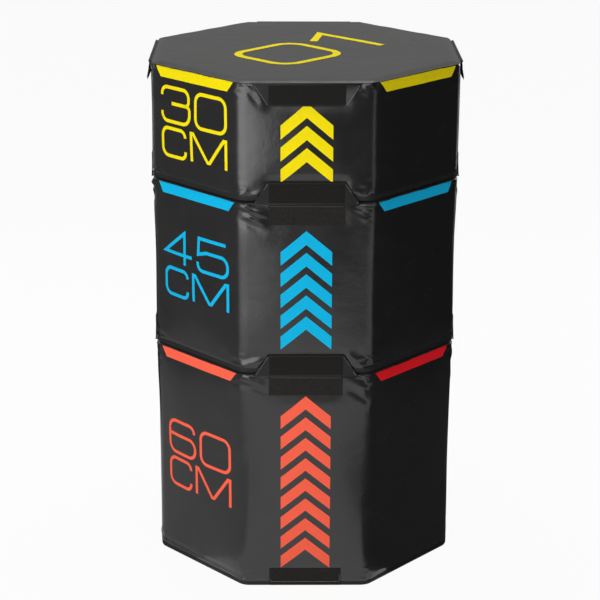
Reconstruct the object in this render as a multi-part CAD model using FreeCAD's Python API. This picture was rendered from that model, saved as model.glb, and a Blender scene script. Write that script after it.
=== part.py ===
"""Three soft plyo boxes of one octagonal plan, stacked and held together by hook-and-loop flaps.

Each box is a laminated foam core in a sewn cover: top panel, side wall and base panel. A zip low on the
back half of the wall opens the cover. Four flaps fold at the top seam: up onto the box above, or down onto
their own box. Millimetres, +Z up, origin at the centre of the base, front face towards -Y.
"""
import FreeCAD
import Part
import math
import os

from FreeCAD import Vector

# Plan of all three boxes
ACROSS_FLATS = 780.0
CORNER_RADIUS = 34.0
SIDE_COUNT = 8

# Heights of the boxes, from the floor up
TALL_BOX_HEIGHT = 600.0
MIDDLE_BOX_HEIGHT = 450.0
SHORT_BOX_HEIGHT = 300.0

# Sewn cover
COVER_THICKNESS = 1.2
TOP_EDGE_CUT = 3.0
TOP_RIM_LAND = 1.5
CROWN_WIDTH = 20.0
CROWN_FALL = 2.5
BASE_EDGE_CUT = 6.0
BASE_RIM_LAND = 7.0

# Foam core: slabs glued flat on each other
FOAM_SLAB_THICKNESS = 150.0
FOAM_SIDE_GAP = 2.0

# Hook-and-loop strips on the wall
STRIP_WIDTH = 186.0
STRIP_THICKNESS = 2.0
UPPER_STRIP_HEIGHT = 50.0
UPPER_STRIP_DROP = 3.0
LOWER_STRIP_TOP = 50.0
LOWER_STRIP_FOOT = 2.0

# Flaps and the tapes on their two sides
FLAP_THICKNESS = 1.6
FLAP_LENGTH = 55.0
FLAP_ROOT_WIDTH = 262.0
FLAP_TIP_WIDTH = 192.0
FLAP_TIP_CUT = 3.0
FOLD_BEAD_RADIUS = 1.6
FLAP_ROOT_THICKNESS = 2.4
TAPE_WIDTH = 184.0
TAPE_HEIGHT = 46.0
TAPE_THICKNESS = 2.0
TAPE_FOLD_DISTANCE = 5.0
HOOK_GAP = 0.3
FOLD_CLEARANCE = 0.3

# Zip round the back half of the wall
ZIP_HEIGHT = 62.0
ZIP_SLOT_HEIGHT = 13.0
ZIP_TAPE_THICKNESS = 0.8
CHAIN_HEIGHT = 6.0
CHAIN_MIDDLE_GAP = 1.4
CHAIN_PROUD = 0.9
CHAIN_STOP_LENGTH = 4.0

# Zip slider: two plates joined by a web that runs between the halves of the chain
SLIDER_LENGTH = 20.0
SLIDER_LEAD_WIDTH = 13.0
SLIDER_TAIL_WIDTH = 10.0
SLIDER_PLATE_THICKNESS = 1.2
SLIDER_CLEARANCE = 0.3
SLIDER_WEB_LENGTH = 7.0
SLIDER_LIP_THICKNESS = 1.0
SLIDER_CORNER_CUT = 1.5

# Bridge on the slider, and the pull that swings on its bar
BRIDGE_BAR_RADIUS = 0.8
BRIDGE_SPAN = 6.0
BRIDGE_POST_THICKNESS = 1.2
BRIDGE_POST_LENGTH = 3.0
PULL_EYE_RADIUS = 1.9
PULL_PIVOT_CLEARANCE = 0.1
PULL_SIDE_CLEARANCE = 0.3
PULL_LENGTH = 26.0
PULL_WIDTH = 7.0
PULL_THICKNESS = 1.4
PULL_CORNER_CUT = 2.0

# How far a cutting body runs past what it cuts, and how near counts as level
OVERRUN = 10.0
LEVEL_TOLERANCE = 0.01

# How much shorter an edge cut gets on the inside of a sheet, as a share of the sheet's thickness
INNER_CUT_SHARE = 2 - math.sqrt(2)

# Values that follow from the sizes above
APOTHEM = ACROSS_FLATS / 2
SIDE_ANGLE = 360.0 / SIDE_COUNT
TOP_RIM_HEIGHT = CROWN_FALL + TOP_EDGE_CUT + TOP_RIM_LAND
BASE_RIM_HEIGHT = BASE_EDGE_CUT + BASE_RIM_LAND
INNER_TOP_CUT = TOP_EDGE_CUT - COVER_THICKNESS * INNER_CUT_SHARE
INNER_BASE_CUT = BASE_EDGE_CUT - COVER_THICKNESS * INNER_CUT_SHARE
FOLD_OUT = STRIP_THICKNESS + HOOK_GAP + TAPE_THICKNESS + FLAP_THICKNESS / 2
SLIDER_REST = CHAIN_STOP_LENGTH + SLIDER_CLEARANCE + SLIDER_LENGTH / 2
SLIDER_TOP_FACE = CHAIN_PROUD + SLIDER_CLEARANCE + SLIDER_PLATE_THICKNESS
BRIDGE_BAR_OUT = SLIDER_TOP_FACE + SLIDER_CLEARANCE + PULL_EYE_RADIUS

# The straight faces that carry a flap, each with its turn about +Z from the front face
FLAP_FACES = {"front": 0.0, "right": 90.0, "back": 180.0, "left": 270.0}
# The straight face on which the closed zip's slider is parked
SLIDER_FACE = "right"

# Name, height and how the flaps lie at rest, from the floor up
BOXES = (
    ("tall_box", TALL_BOX_HEIGHT, "raised"),
    ("middle_box", MIDDLE_BOX_HEIGHT, "raised"),
    ("short_box", SHORT_BOX_HEIGHT, "hanging"),
)

UP = Vector(0, 0, 1)
ALONG_FRONT = Vector(1, 0, 0)
CENTRE = Vector(0, 0, 0)


def face_point(along, out, height):
    """A point in the front face's frame: along the face, out from it, and above the floor."""
    return Vector(along, -(APOTHEM + out), height)


def face_block(width, out_low, out_high, low, high, middle=0):
    """A block on the front face, centred on middle along the face."""
    corner = face_point(middle - width / 2, out_high, low)
    return Part.makeBox(width, out_high - out_low, high - low, corner)


def turned(shape, face):
    """A copy of a shape of the front face, turned onto another straight face."""
    copy = shape.copy()
    copy.rotate(CENTRE, UP, FLAP_FACES[face])
    return copy


def fused(shapes):
    """One solid from several that meet."""
    return shapes[0].multiFuse(shapes[1:]).removeSplitter()


def outline(offset, height, cut_corners=False):
    """Octagon parallel to the cover's outer face at offset from it, its corners rounded or cut straight."""
    radius = CORNER_RADIUS + offset
    to_centre = (APOTHEM - CORNER_RADIUS) / math.cos(math.radians(SIDE_ANGLE / 2))
    arcs = []
    for side in range(SIDE_COUNT):
        middle_angle = SIDE_ANGLE * (side + 1 / 2)
        points = []
        for turn in (-SIDE_ANGLE / 2, 0, SIDE_ANGLE / 2):
            centre_angle = math.radians(middle_angle)
            angle = math.radians(middle_angle + turn)
            x = to_centre * math.cos(centre_angle) + radius * math.cos(angle)
            y = to_centre * math.sin(centre_angle) + radius * math.sin(angle)
            points.append(Vector(x, y, height))
        arcs.append(points)
    edges = []
    for side, points in enumerate(arcs):
        following = arcs[(side + 1) % SIDE_COUNT]
        corner = Part.LineSegment(points[0], points[-1]) if cut_corners else Part.Arc(*points)
        edges.append(corner.toShape())
        edges.append(Part.LineSegment(points[-1], following[0]).toShape())
    return Part.Wire(edges)


def prism(offset, low, high):
    """Octagonal prism, offset from the cover's outer face."""
    return Part.Face(outline(offset, low)).extrude(Vector(0, 0, high - low))


def flat_sided(sections):
    """Solid through octagons with corners cut straight, each given by its offset and height."""
    wires = [outline(offset, height, cut_corners=True) for offset, height in sections]
    return Part.makeLoft(wires, True, True)


def edges_at(solid, height):
    """The edges of a solid that lie level at that height."""
    return [edge for edge in solid.Edges
            if abs(edge.BoundBox.ZMin - height) < LEVEL_TOLERANCE
            and abs(edge.BoundBox.ZMax - height) < LEVEL_TOLERANCE]


def ring(out_low, out_high, low, high):
    """Octagonal band between two offsets from the cover's outer face."""
    return prism(out_high, low, high).cut(prism(out_low, low - OVERRUN, high + OVERRUN))


def back_part(start, low, high):
    """Block over everything further back than start."""
    reach = ACROSS_FLATS + OVERRUN
    return Part.makeBox(2 * reach, reach, high - low, Vector(-reach, start, low))


def base_panel(floor):
    """Base of the cover: a shallow tray whose rim is sewn to the wall."""
    seam = floor + BASE_RIM_HEIGHT
    outer = prism(0, floor, seam)
    outer = outer.makeChamfer(BASE_EDGE_CUT, edges_at(outer, floor))
    inset = -COVER_THICKNESS
    inner_floor = floor + COVER_THICKNESS
    hollow = flat_sided([(inset - INNER_BASE_CUT, inner_floor), (inset, inner_floor + INNER_BASE_CUT),
                         (inset, seam + OVERRUN)])
    return outer.cut(hollow)


def top_panel(top):
    """Landing face of the cover: a low-crowned lid whose short rim is sewn to the wall."""
    seam = top - TOP_RIM_HEIGHT
    outer = prism(0, seam, top)
    outer = outer.makeChamfer(CROWN_FALL, CROWN_WIDTH, edges_at(outer, top))
    outer = outer.makeChamfer(TOP_EDGE_CUT, edges_at(outer, top - CROWN_FALL))
    inset = -COVER_THICKNESS
    inner_top = top - COVER_THICKNESS
    shoulder = inner_top - CROWN_FALL
    hollow = flat_sided([(inset, seam - OVERRUN), (inset, shoulder - INNER_TOP_CUT),
                         (inset - INNER_TOP_CUT, shoulder), (inset - CROWN_WIDTH, inner_top)])
    return outer.cut(hollow)


def side_wall(floor, top):
    """Wall of the cover between the two seams, slotted for the zip round its back half."""
    wall = ring(-COVER_THICKNESS, 0, floor + BASE_RIM_HEIGHT, top - TOP_RIM_HEIGHT)
    middle = floor + ZIP_HEIGHT
    slot = back_part(0, middle - ZIP_SLOT_HEIGHT / 2, middle + ZIP_SLOT_HEIGHT / 2)
    return wall.cut(slot)


def foam_core(floor, top):
    """Glued foam slabs with cut corners, bevelled where the cover turns over the top and base edges."""
    bottom = floor + COVER_THICKNESS
    height = top - floor - 2 * COVER_THICKNESS
    count = max(1, round((top - floor) / FOAM_SLAB_THICKNESS))
    inset = -(COVER_THICKNESS + FOAM_SIDE_GAP)
    slabs = []
    for layer in range(count):
        low = bottom + height * layer / count
        high = bottom + height * (layer + 1) / count
        sections = [(inset, low), (inset, high)]
        if layer == 0:
            sections[:1] = [(inset - INNER_BASE_CUT, low), (inset, low + INNER_BASE_CUT)]
        if layer == count - 1:
            shoulder = high - CROWN_FALL
            sections[-1:] = [(inset, shoulder - INNER_TOP_CUT), (inset - INNER_TOP_CUT, shoulder),
                             (inset - CROWN_WIDTH, high)]
        slabs.append(flat_sided(sections))
    return Part.makeCompound(slabs)


def upper_strips(fold):
    """Strip under the fold on each flap face, which holds that box's own flap when it hangs."""
    high = fold - UPPER_STRIP_DROP
    strip = face_block(STRIP_WIDTH, 0, STRIP_THICKNESS, high - UPPER_STRIP_HEIGHT, high)
    return Part.makeCompound([turned(strip, face) for face in FLAP_FACES])


def lower_strips(floor):
    """Strip along the base on each flap face, turned under the base edge, which holds the flap from below."""
    start = -STRIP_WIDTH / 2
    top = floor + LOWER_STRIP_TOP
    turn = floor + BASE_EDGE_CUT
    foot = floor + LOWER_STRIP_FOOT
    foot_in = turn - foot
    slanted_thickness = STRIP_THICKNESS * math.sqrt(2)
    section = [
        face_point(start, 0, top),
        face_point(start, 0, turn),
        face_point(start, -foot_in, foot),
        face_point(start, slanted_thickness - foot_in, foot),
        face_point(start, STRIP_THICKNESS, turn + STRIP_THICKNESS - slanted_thickness),
        face_point(start, STRIP_THICKNESS, top),
    ]
    strip = Part.Face(Part.makePolygon(section + section[:1])).extrude(Vector(STRIP_WIDTH, 0, 0))
    return Part.makeCompound([turned(strip, face) for face in FLAP_FACES])


def fold_bar(radius, length, fold):
    """Round bar along the fold line of the front flap."""
    return Part.makeCylinder(radius, length, face_point(-length / 2, FOLD_OUT, fold), ALONG_FRONT)


def flap_roots(fold):
    """Sewn-in edge of each flap: it stands out of the top seam and ends in the hollow of the fold."""
    low = fold - FLAP_ROOT_THICKNESS / 2
    high = fold + FLAP_ROOT_THICKNESS / 2
    root = face_block(FLAP_ROOT_WIDTH, 0, FOLD_OUT, low, high)
    hollow = fold_bar(FOLD_BEAD_RADIUS + FOLD_CLEARANCE, FLAP_ROOT_WIDTH + 2 * OVERRUN, fold)
    root = root.cut(hollow)
    root = min(root.Solids, key=lambda solid: -solid.BoundBox.YMin)
    return Part.makeCompound([turned(root, face) for face in FLAP_FACES])


def at_rest(shape, fold, face, lie):
    """A raised front flap's shape, hung over its fold if it lies that way, and turned onto its face."""
    copy = shape.copy()
    if lie == "hanging":
        copy.rotate(face_point(0, FOLD_OUT, fold), ALONG_FRONT, 180)
    return turned(copy, face)


def flap(fold, face, lie):
    """Doubled sheet tapering to its free edge, with a rolled fold along its root."""
    tip = fold + FLAP_LENGTH
    outer = FOLD_OUT + FLAP_THICKNESS / 2
    corners = [
        face_point(-FLAP_ROOT_WIDTH / 2, outer, fold),
        face_point(FLAP_ROOT_WIDTH / 2, outer, fold),
        face_point(FLAP_TIP_WIDTH / 2, outer, tip),
        face_point(-FLAP_TIP_WIDTH / 2, outer, tip),
    ]
    sheet = Part.Face(Part.makePolygon(corners + corners[:1])).extrude(Vector(0, FLAP_THICKNESS, 0))
    tip_corners = [edge for edge in sheet.Edges if abs(edge.CenterOfMass.z - tip) < LEVEL_TOLERANCE
                   and edge.BoundBox.XLength < LEVEL_TOLERANCE]
    sheet = sheet.makeChamfer(FLAP_TIP_CUT, tip_corners)
    bead = fold_bar(FOLD_BEAD_RADIUS, FLAP_ROOT_WIDTH, fold)
    return at_rest(fused([sheet, bead]), fold, face, lie)


def flap_tapes(fold, face, lie):
    """Hook tape on one side of the flap and loop tape on the other."""
    low = fold + TAPE_FOLD_DISTANCE
    high = low + TAPE_HEIGHT
    tapes = []
    for out in (FOLD_OUT - FLAP_THICKNESS / 2 - TAPE_THICKNESS, FOLD_OUT + FLAP_THICKNESS / 2):
        tapes.append(face_block(TAPE_WIDTH, out, out + TAPE_THICKNESS, low, high))
    return at_rest(Part.makeCompound(tapes), fold, face, lie)


def zip_tapes(floor):
    """Woven tape above and below the chain, up to the edges of the slot."""
    middle = floor + ZIP_HEIGHT
    inner = -COVER_THICKNESS
    tapes = []
    for low, high in (
        (middle - ZIP_SLOT_HEIGHT / 2, middle - CHAIN_HEIGHT / 2),
        (middle + CHAIN_HEIGHT / 2, middle + ZIP_SLOT_HEIGHT / 2),
    ):
        band = ring(inner, inner + ZIP_TAPE_THICKNESS, low, high)
        tapes.append(band.common(back_part(0, low, high)))
    return Part.makeCompound(tapes)


def zip_chain(floor):
    """The two half chains side by side, with a stop across both ends."""
    middle = floor + ZIP_HEIGHT
    inner = -COVER_THICKNESS
    pieces = []
    for low, high in (
        (middle - CHAIN_HEIGHT / 2, middle - CHAIN_MIDDLE_GAP / 2),
        (middle + CHAIN_MIDDLE_GAP / 2, middle + CHAIN_HEIGHT / 2),
    ):
        band = ring(inner, CHAIN_PROUD, low, high)
        pieces.append(band.common(back_part(CHAIN_STOP_LENGTH, low, high)))
    for face, side in (("right", 1), ("left", -1)):
        stop = face_block(CHAIN_STOP_LENGTH, inner, CHAIN_PROUD, middle - CHAIN_HEIGHT / 2,
                          middle + CHAIN_HEIGHT / 2, side * CHAIN_STOP_LENGTH / 2)
        pieces.append(turned(stop, face))
    return Part.makeCompound(pieces)


def slider_plate(middle, out):
    """One plate of the slider, wide where the half chains part and narrow where they join."""
    lead = SLIDER_REST - SLIDER_LENGTH / 2
    tail = SLIDER_REST + SLIDER_LENGTH / 2
    corners = [
        face_point(lead, out, middle - SLIDER_LEAD_WIDTH / 2),
        face_point(tail, out, middle - SLIDER_TAIL_WIDTH / 2),
        face_point(tail, out, middle + SLIDER_TAIL_WIDTH / 2),
        face_point(lead, out, middle + SLIDER_LEAD_WIDTH / 2),
    ]
    plate = Part.Face(Part.makePolygon(corners + corners[:1]))
    plate = plate.extrude(Vector(0, -SLIDER_PLATE_THICKNESS, 0))
    upright = [edge for edge in plate.Edges if edge.BoundBox.XLength < LEVEL_TOLERANCE
               and edge.BoundBox.ZLength < LEVEL_TOLERANCE]
    return plate.makeChamfer(SLIDER_CORNER_CUT, upright)


def zip_slider(floor):
    """Slider on the chain: outer and inner plate, web, side lips and the bridge for the pull."""
    middle = floor + ZIP_HEIGHT
    under = -COVER_THICKNESS - SLIDER_CLEARANCE
    over = CHAIN_PROUD + SLIDER_CLEARANCE
    web_thickness = CHAIN_MIDDLE_GAP - 2 * SLIDER_CLEARANCE
    pieces = [
        slider_plate(middle, over),
        slider_plate(middle, under - SLIDER_PLATE_THICKNESS),
        face_block(SLIDER_WEB_LENGTH, under - SLIDER_PLATE_THICKNESS / 2, over + SLIDER_PLATE_THICKNESS / 2,
                   middle - web_thickness / 2, middle + web_thickness / 2, SLIDER_REST),
    ]
    lip_inner = CHAIN_HEIGHT / 2 + SLIDER_CLEARANCE
    lip_foot = ZIP_TAPE_THICKNESS - COVER_THICKNESS + SLIDER_CLEARANCE
    post_inner = BRIDGE_SPAN / 2
    post_top = BRIDGE_BAR_OUT + BRIDGE_BAR_RADIUS
    for side in (-1, 1):
        lip = sorted((middle + side * lip_inner, middle + side * (lip_inner + SLIDER_LIP_THICKNESS)))
        post = sorted((middle + side * post_inner, middle + side * (post_inner + BRIDGE_POST_THICKNESS)))
        lip_length = SLIDER_LENGTH - 2 * SLIDER_CORNER_CUT
        pieces.append(face_block(lip_length, lip_foot, over + SLIDER_PLATE_THICKNESS / 2, *lip, SLIDER_REST))
        pieces.append(face_block(BRIDGE_POST_LENGTH, over + SLIDER_PLATE_THICKNESS / 2, post_top, *post,
                                 SLIDER_REST))
    bar_length = BRIDGE_SPAN + BRIDGE_POST_THICKNESS
    bar_foot = face_point(SLIDER_REST, BRIDGE_BAR_OUT, middle - bar_length / 2)
    pieces.append(Part.makeCylinder(BRIDGE_BAR_RADIUS, bar_length, bar_foot, UP))
    return turned(fused(pieces), SLIDER_FACE)


def zip_pull(floor):
    """Pull tab lying flat past the end of the zip, its eye round the bar of the bridge."""
    middle = floor + ZIP_HEIGHT
    low = BRIDGE_BAR_OUT - PULL_THICKNESS / 2
    high = BRIDGE_BAR_OUT + PULL_THICKNESS / 2
    eye_length = BRIDGE_SPAN - 2 * PULL_SIDE_CLEARANCE
    eye_foot = face_point(SLIDER_REST, BRIDGE_BAR_OUT, middle - eye_length / 2)
    eye = Part.makeCylinder(PULL_EYE_RADIUS, eye_length, eye_foot, UP)
    neck_length = BRIDGE_POST_LENGTH / 2 + PULL_EYE_RADIUS
    neck = face_block(neck_length, low, high, middle - eye_length / 2, middle + eye_length / 2,
                      SLIDER_REST - neck_length / 2)
    tab_length = PULL_LENGTH - neck_length
    tab_middle = SLIDER_REST - neck_length - tab_length / 2
    tab = face_block(tab_length, low, high, middle - PULL_WIDTH / 2, middle + PULL_WIDTH / 2, tab_middle)
    corners = [edge for edge in tab.Edges if edge.BoundBox.XLength < LEVEL_TOLERANCE
               and edge.BoundBox.ZLength < LEVEL_TOLERANCE]
    tab = tab.makeChamfer(PULL_CORNER_CUT, corners)
    pull = fused([tab, neck, eye])
    bore_foot = face_point(SLIDER_REST, BRIDGE_BAR_OUT, middle - PULL_WIDTH)
    bore = Part.makeCylinder(BRIDGE_BAR_RADIUS + PULL_PIVOT_CLEARANCE, 2 * PULL_WIDTH, bore_foot, UP)
    return turned(pull.cut(bore), SLIDER_FACE)


def box_pieces(name, floor, height, lie):
    """Every piece of one box, by node name."""
    top = floor + height
    fold = top - TOP_RIM_HEIGHT
    pieces = {
        "foam_core": foam_core(floor, top),
        "base_panel": base_panel(floor),
        "side_wall": side_wall(floor, top),
        "top_panel": top_panel(top),
        "upper_strips": upper_strips(fold),
        "lower_strips": lower_strips(floor),
        "flap_roots": flap_roots(fold),
        "zip_tapes": zip_tapes(floor),
        "zip_chain": zip_chain(floor),
        "zip_slider": zip_slider(floor),
        "zip_pull": zip_pull(floor),
    }
    for face in FLAP_FACES:
        pieces[f"{face}_flap"] = flap(fold, face, lie)
        pieces[f"{face}_flap_tapes"] = flap_tapes(fold, face, lie)
    return {f"{name}_{piece}": shape for piece, shape in pieces.items()}


def main():
    """Build the stack from the floor up and write one STEP file for each node."""
    os.makedirs("parts", exist_ok=True)
    floor = 0.0
    for name, height, lie in BOXES:
        for node, shape in box_pieces(name, floor, height, lie).items():
            sound = shape.isValid() and all(solid.Volume > 0 for solid in shape.Solids)
            print(f"{node}: {len(shape.Solids)} solids, {shape.Volume:.0f} mm3, {'sound' if sound else 'FAULTY'}")
            shape.exportStep(os.path.join("parts", f"{node}.step"))
        floor += height


if __name__ == "__main__":
    main()
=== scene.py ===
"""Looks of a stack of three soft plyo boxes: padded covers, hook-and-loop flaps, printed marks and zips.

Each box is a sewn cover over a foam core. Sizes in the classes are millimetres, and metres on the meshes.
"""

import logging
import math
from collections.abc import Callable, Iterator, Sequence
from contextlib import contextmanager
from dataclasses import dataclass
from enum import Enum

import bmesh
import bpy
import numpy as np
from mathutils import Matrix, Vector, noise


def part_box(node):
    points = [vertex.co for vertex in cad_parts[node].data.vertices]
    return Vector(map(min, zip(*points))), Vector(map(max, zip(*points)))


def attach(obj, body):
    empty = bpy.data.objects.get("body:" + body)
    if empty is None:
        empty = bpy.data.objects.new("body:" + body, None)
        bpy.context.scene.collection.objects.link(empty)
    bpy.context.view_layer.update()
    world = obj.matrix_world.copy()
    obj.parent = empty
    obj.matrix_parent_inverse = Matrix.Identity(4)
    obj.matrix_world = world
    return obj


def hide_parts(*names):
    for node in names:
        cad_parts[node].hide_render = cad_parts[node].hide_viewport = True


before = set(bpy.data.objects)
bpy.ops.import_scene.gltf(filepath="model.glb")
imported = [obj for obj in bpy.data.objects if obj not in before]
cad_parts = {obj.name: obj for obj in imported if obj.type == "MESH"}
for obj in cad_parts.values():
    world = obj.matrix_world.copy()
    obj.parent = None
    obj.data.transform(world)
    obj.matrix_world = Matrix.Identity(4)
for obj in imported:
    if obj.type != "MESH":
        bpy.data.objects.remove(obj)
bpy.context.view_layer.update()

LOG = logging.getLogger("plyo_boxes")
MM = 0.001
EIGHTH = math.pi / 4
# Lengths in metres that differ by less than this count as equal
NEAR = 1e-5
SAME = 1e-6
# How far in front of a box flat pieces are drawn, before they are pressed onto it
DRAWN_AHEAD = 60 * MM

Object = bpy.types.Object
Material = bpy.types.Material
NodeTree = bpy.types.NodeTree
Node = bpy.types.Node


class Part(Enum):
    """What edit mode selects: its value is Blender's select mode."""

    VERTICES = (True, False, False)
    EDGES = (False, True, False)
    FACES = (False, False, True)


class Face(Enum):
    """A side of the boxes: its value is how many eighths of a turn it lies from the front."""

    FRONT = 0
    FRONT_RIGHT = 1
    RIGHT = 2
    BACK_RIGHT = 3
    BACK = 4
    BACK_LEFT = 5
    LEFT = 6
    FRONT_LEFT = 7

    @property
    def turn(self) -> float:
        """Turn about +Z from the front face, in radians."""
        return self.value * EIGHTH


FLAP_FACES = (Face.FRONT, Face.RIGHT, Face.BACK, Face.LEFT)
BAR_FACES = (Face.FRONT_RIGHT, Face.BACK_RIGHT, Face.BACK_LEFT, Face.FRONT_LEFT)


# Mesh work, as by hand


def rows_of(group: bpy.types.bpy_prop_collection, field: str) -> np.ndarray:
    """A field of every element of a mesh, as rows of x, y and z."""
    flat = np.empty(len(group) * 3)
    group.foreach_get(field, flat)
    return flat.reshape(-1, 3)


def points_of(obj: Object) -> np.ndarray:
    """Vertices of a mesh."""
    return rows_of(obj.data.vertices, "co")


def face_centres(obj: Object) -> np.ndarray:
    """Centre of every face."""
    return rows_of(obj.data.polygons, "center")


def face_normals(obj: Object) -> np.ndarray:
    """Normal of every face."""
    return rows_of(obj.data.polygons, "normal")


def put_points(obj: Object, points: np.ndarray) -> None:
    """Move the vertices of a mesh to these rows of x, y and z."""
    obj.data.vertices.foreach_set("co", points.ravel())
    obj.data.update()


def edge_ends(obj: Object) -> tuple[np.ndarray, np.ndarray]:
    """First and second end point of every edge."""
    ends = np.empty(len(obj.data.edges) * 2, int)
    obj.data.edges.foreach_get("vertices", ends)
    points = points_of(obj)[ends]
    return points[0::2], points[1::2]


def edge_lengths(obj: Object) -> np.ndarray:
    """Length of every edge."""
    first, second = edge_ends(obj)
    return np.linalg.norm(first - second, axis=1)


def clear_selection() -> None:
    """Leave nothing selected."""
    for obj in bpy.context.selected_objects:
        obj.select_set(False)


def take(obj: Object) -> None:
    """Make an object the only one that operators act on."""
    clear_selection()
    obj.select_set(True)
    bpy.context.view_layer.objects.active = obj


@contextmanager
def editing(obj: Object, part: Part = Part.VERTICES, chosen: np.ndarray | None = None) -> Iterator[None]:
    """Edit mode on one object, with the chosen elements selected.

    Args:
        obj: The mesh to edit.
        part: What is selected.
        chosen: True for each vertex, edge or face to select. Everything, if it is left out.
    """
    take(obj)
    bpy.context.tool_settings.mesh_select_mode = part.value
    mesh = obj.data
    groups = {Part.VERTICES: mesh.vertices, Part.EDGES: mesh.edges, Part.FACES: mesh.polygons}
    for kind, group in groups.items():
        wanted = chosen if kind is part and chosen is not None else np.full(len(group), chosen is None)
        group.foreach_set("select", np.asarray(wanted, bool))
    bpy.ops.object.mode_set(mode="EDIT")
    yield
    bpy.ops.object.mode_set(mode="OBJECT")


def finish_with(obj: Object, kind: str, **settings: object) -> None:
    """Add a modifier with these settings and apply it."""
    take(obj)
    modifier = obj.modifiers.new(kind.lower(), kind)
    for name, value in settings.items():
        setattr(modifier, name, value)
    bpy.ops.object.modifier_apply(modifier=modifier.name)


def repeated(obj: Object, count: int, step: Sequence[float]) -> None:
    """Repeat a mesh in a row, each copy a step in metres on from the last."""
    finish_with(obj, "ARRAY", count=count, use_relative_offset=False, use_constant_offset=True,
                constant_offset_displace=step)


def faced_front(obj: Object) -> None:
    """Turn the faces of a flat piece to the front, if they look the other way."""
    if face_normals(obj)[:, 1].mean() > 0:
        with editing(obj):
            bpy.ops.mesh.flip_normals()


def subdivided_to(obj: Object, longest: float) -> None:
    """Halve the edges of a mesh until none is longer than this."""
    while (edge_lengths(obj) > longest).any():
        with editing(obj, Part.EDGES, edge_lengths(obj) > longest):
            bpy.ops.mesh.subdivide(number_cuts=1)


def settled(obj: Object) -> None:
    """Put an object's place and turn into its mesh."""
    take(obj)
    bpy.ops.object.transform_apply(location=True, rotation=True, scale=True)


def smooth(obj: Object, angle: float = 40) -> None:
    """Shade smooth, with edges sharper than the angle in degrees kept."""
    take(obj)
    bpy.ops.object.shade_smooth_by_angle(angle=math.radians(angle))


def named(obj: Object, name: str) -> Object:
    """Give an object and its mesh a name."""
    obj.name = name
    obj.data.name = name
    return obj


def joined(objects: Sequence[Object], name: str) -> Object:
    """One object from several, under a name."""
    take(objects[0])
    for obj in objects[1:]:
        obj.select_set(True)
    bpy.ops.object.join()
    return named(objects[0], name)


def copied(obj: Object, name: str) -> Object:
    """A copy of an object with a mesh of its own."""
    copy = obj.copy()
    copy.data = obj.data.copy()
    bpy.context.scene.collection.objects.link(copy)
    return named(copy, name)


def discard(obj: Object) -> None:
    """Remove a helper object and its mesh."""
    mesh = obj.data
    bpy.data.objects.remove(obj)
    bpy.data.meshes.remove(mesh)


class Patterns:
    """Pieces that repeat: each is modelled once and then copied."""

    def __init__(self) -> None:
        """Start with nothing modelled."""
        self.made: dict[tuple, Object] = {}

    def copy(self, key: tuple, model: Callable[[], Object]) -> Object:
        """A copy of the pattern with this key, which the given call models when it is first needed."""
        if key not in self.made:
            self.made[key] = model()
        return copied(self.made[key], "_".join(str(part) for part in key))

    def clear(self) -> None:
        """Discard the patterns themselves."""
        for obj in self.made.values():
            discard(obj)
        self.made.clear()


PATTERNS = Patterns()


def unwrap(obj: Object, across: np.ndarray, up: np.ndarray) -> None:
    """Give a mesh a UV map in metres from one pair of numbers for each vertex."""
    layer = obj.data.uv_layers.new(name="lay")
    corners = np.empty(len(obj.data.loops), int)
    obj.data.loops.foreach_get("vertex_index", corners)
    layer.data.foreach_set("uv", np.stack([across, up], axis=1)[corners].ravel())


def noise_at(points: np.ndarray, spacing: Sequence[float], seed: float) -> np.ndarray:
    """Smooth noise from about -1 to 1.

    Args:
        points: Rows of x, y and z in metres.
        spacing: Size of the noise along x, y and z in metres.
        seed: Moves the pattern.

    Returns:
        One value for each point.
    """
    scaled = points / np.asarray(spacing) + seed
    return np.array([noise.noise(Vector(point)) for point in scaled])


def eased(value: np.ndarray, low: float, high: float) -> np.ndarray:
    """Smooth step from 0 at low to 1 at high."""
    share = np.clip((value - low) / (high - low), 0, 1)
    return share * share * (3 - 2 * share)


# Materials


def linear(colour: str) -> tuple[float, float, float, float]:
    """Linear colour of an sRGB hex value such as 1f2a33."""
    channels = [int(colour[i:i + 2], 16) / 255 for i in (0, 2, 4)]
    return (*((c / 12.92 if c <= 0.04045 else ((c + 0.055) / 1.055) ** 2.4) for c in channels), 1.0)


def toned(colour: str, share: float) -> tuple[float, float, float, float]:
    """Linear colour of an sRGB hex value, made lighter or darker by a share."""
    return (*(min(1.0, c * share) for c in linear(colour)[:3]), 1.0)


def emptied_tree(owner: Material | bpy.types.World) -> NodeTree:
    """Node tree of a new material or world, with nothing in it."""
    owner.use_nodes = True
    owner.node_tree.nodes.clear()
    return owner.node_tree


def add(tree: NodeTree, kind: str, inputs: dict | None = None, **settings: object) -> Node:
    """Add a node.

    Args:
        tree: The node tree that gets it.
        kind: The node's type name.
        inputs: Value or output socket for each of the node's inputs, by name or number.
        settings: The node's own settings.

    Returns:
        The new node.
    """
    node = tree.nodes.new(kind)
    for name, value in settings.items():
        setattr(node, name, value)
    for socket, value in (inputs or {}).items():
        if isinstance(value, bpy.types.NodeSocket):
            tree.links.new(value, node.inputs[socket])
        else:
            node.inputs[socket].default_value = value
    return node


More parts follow.
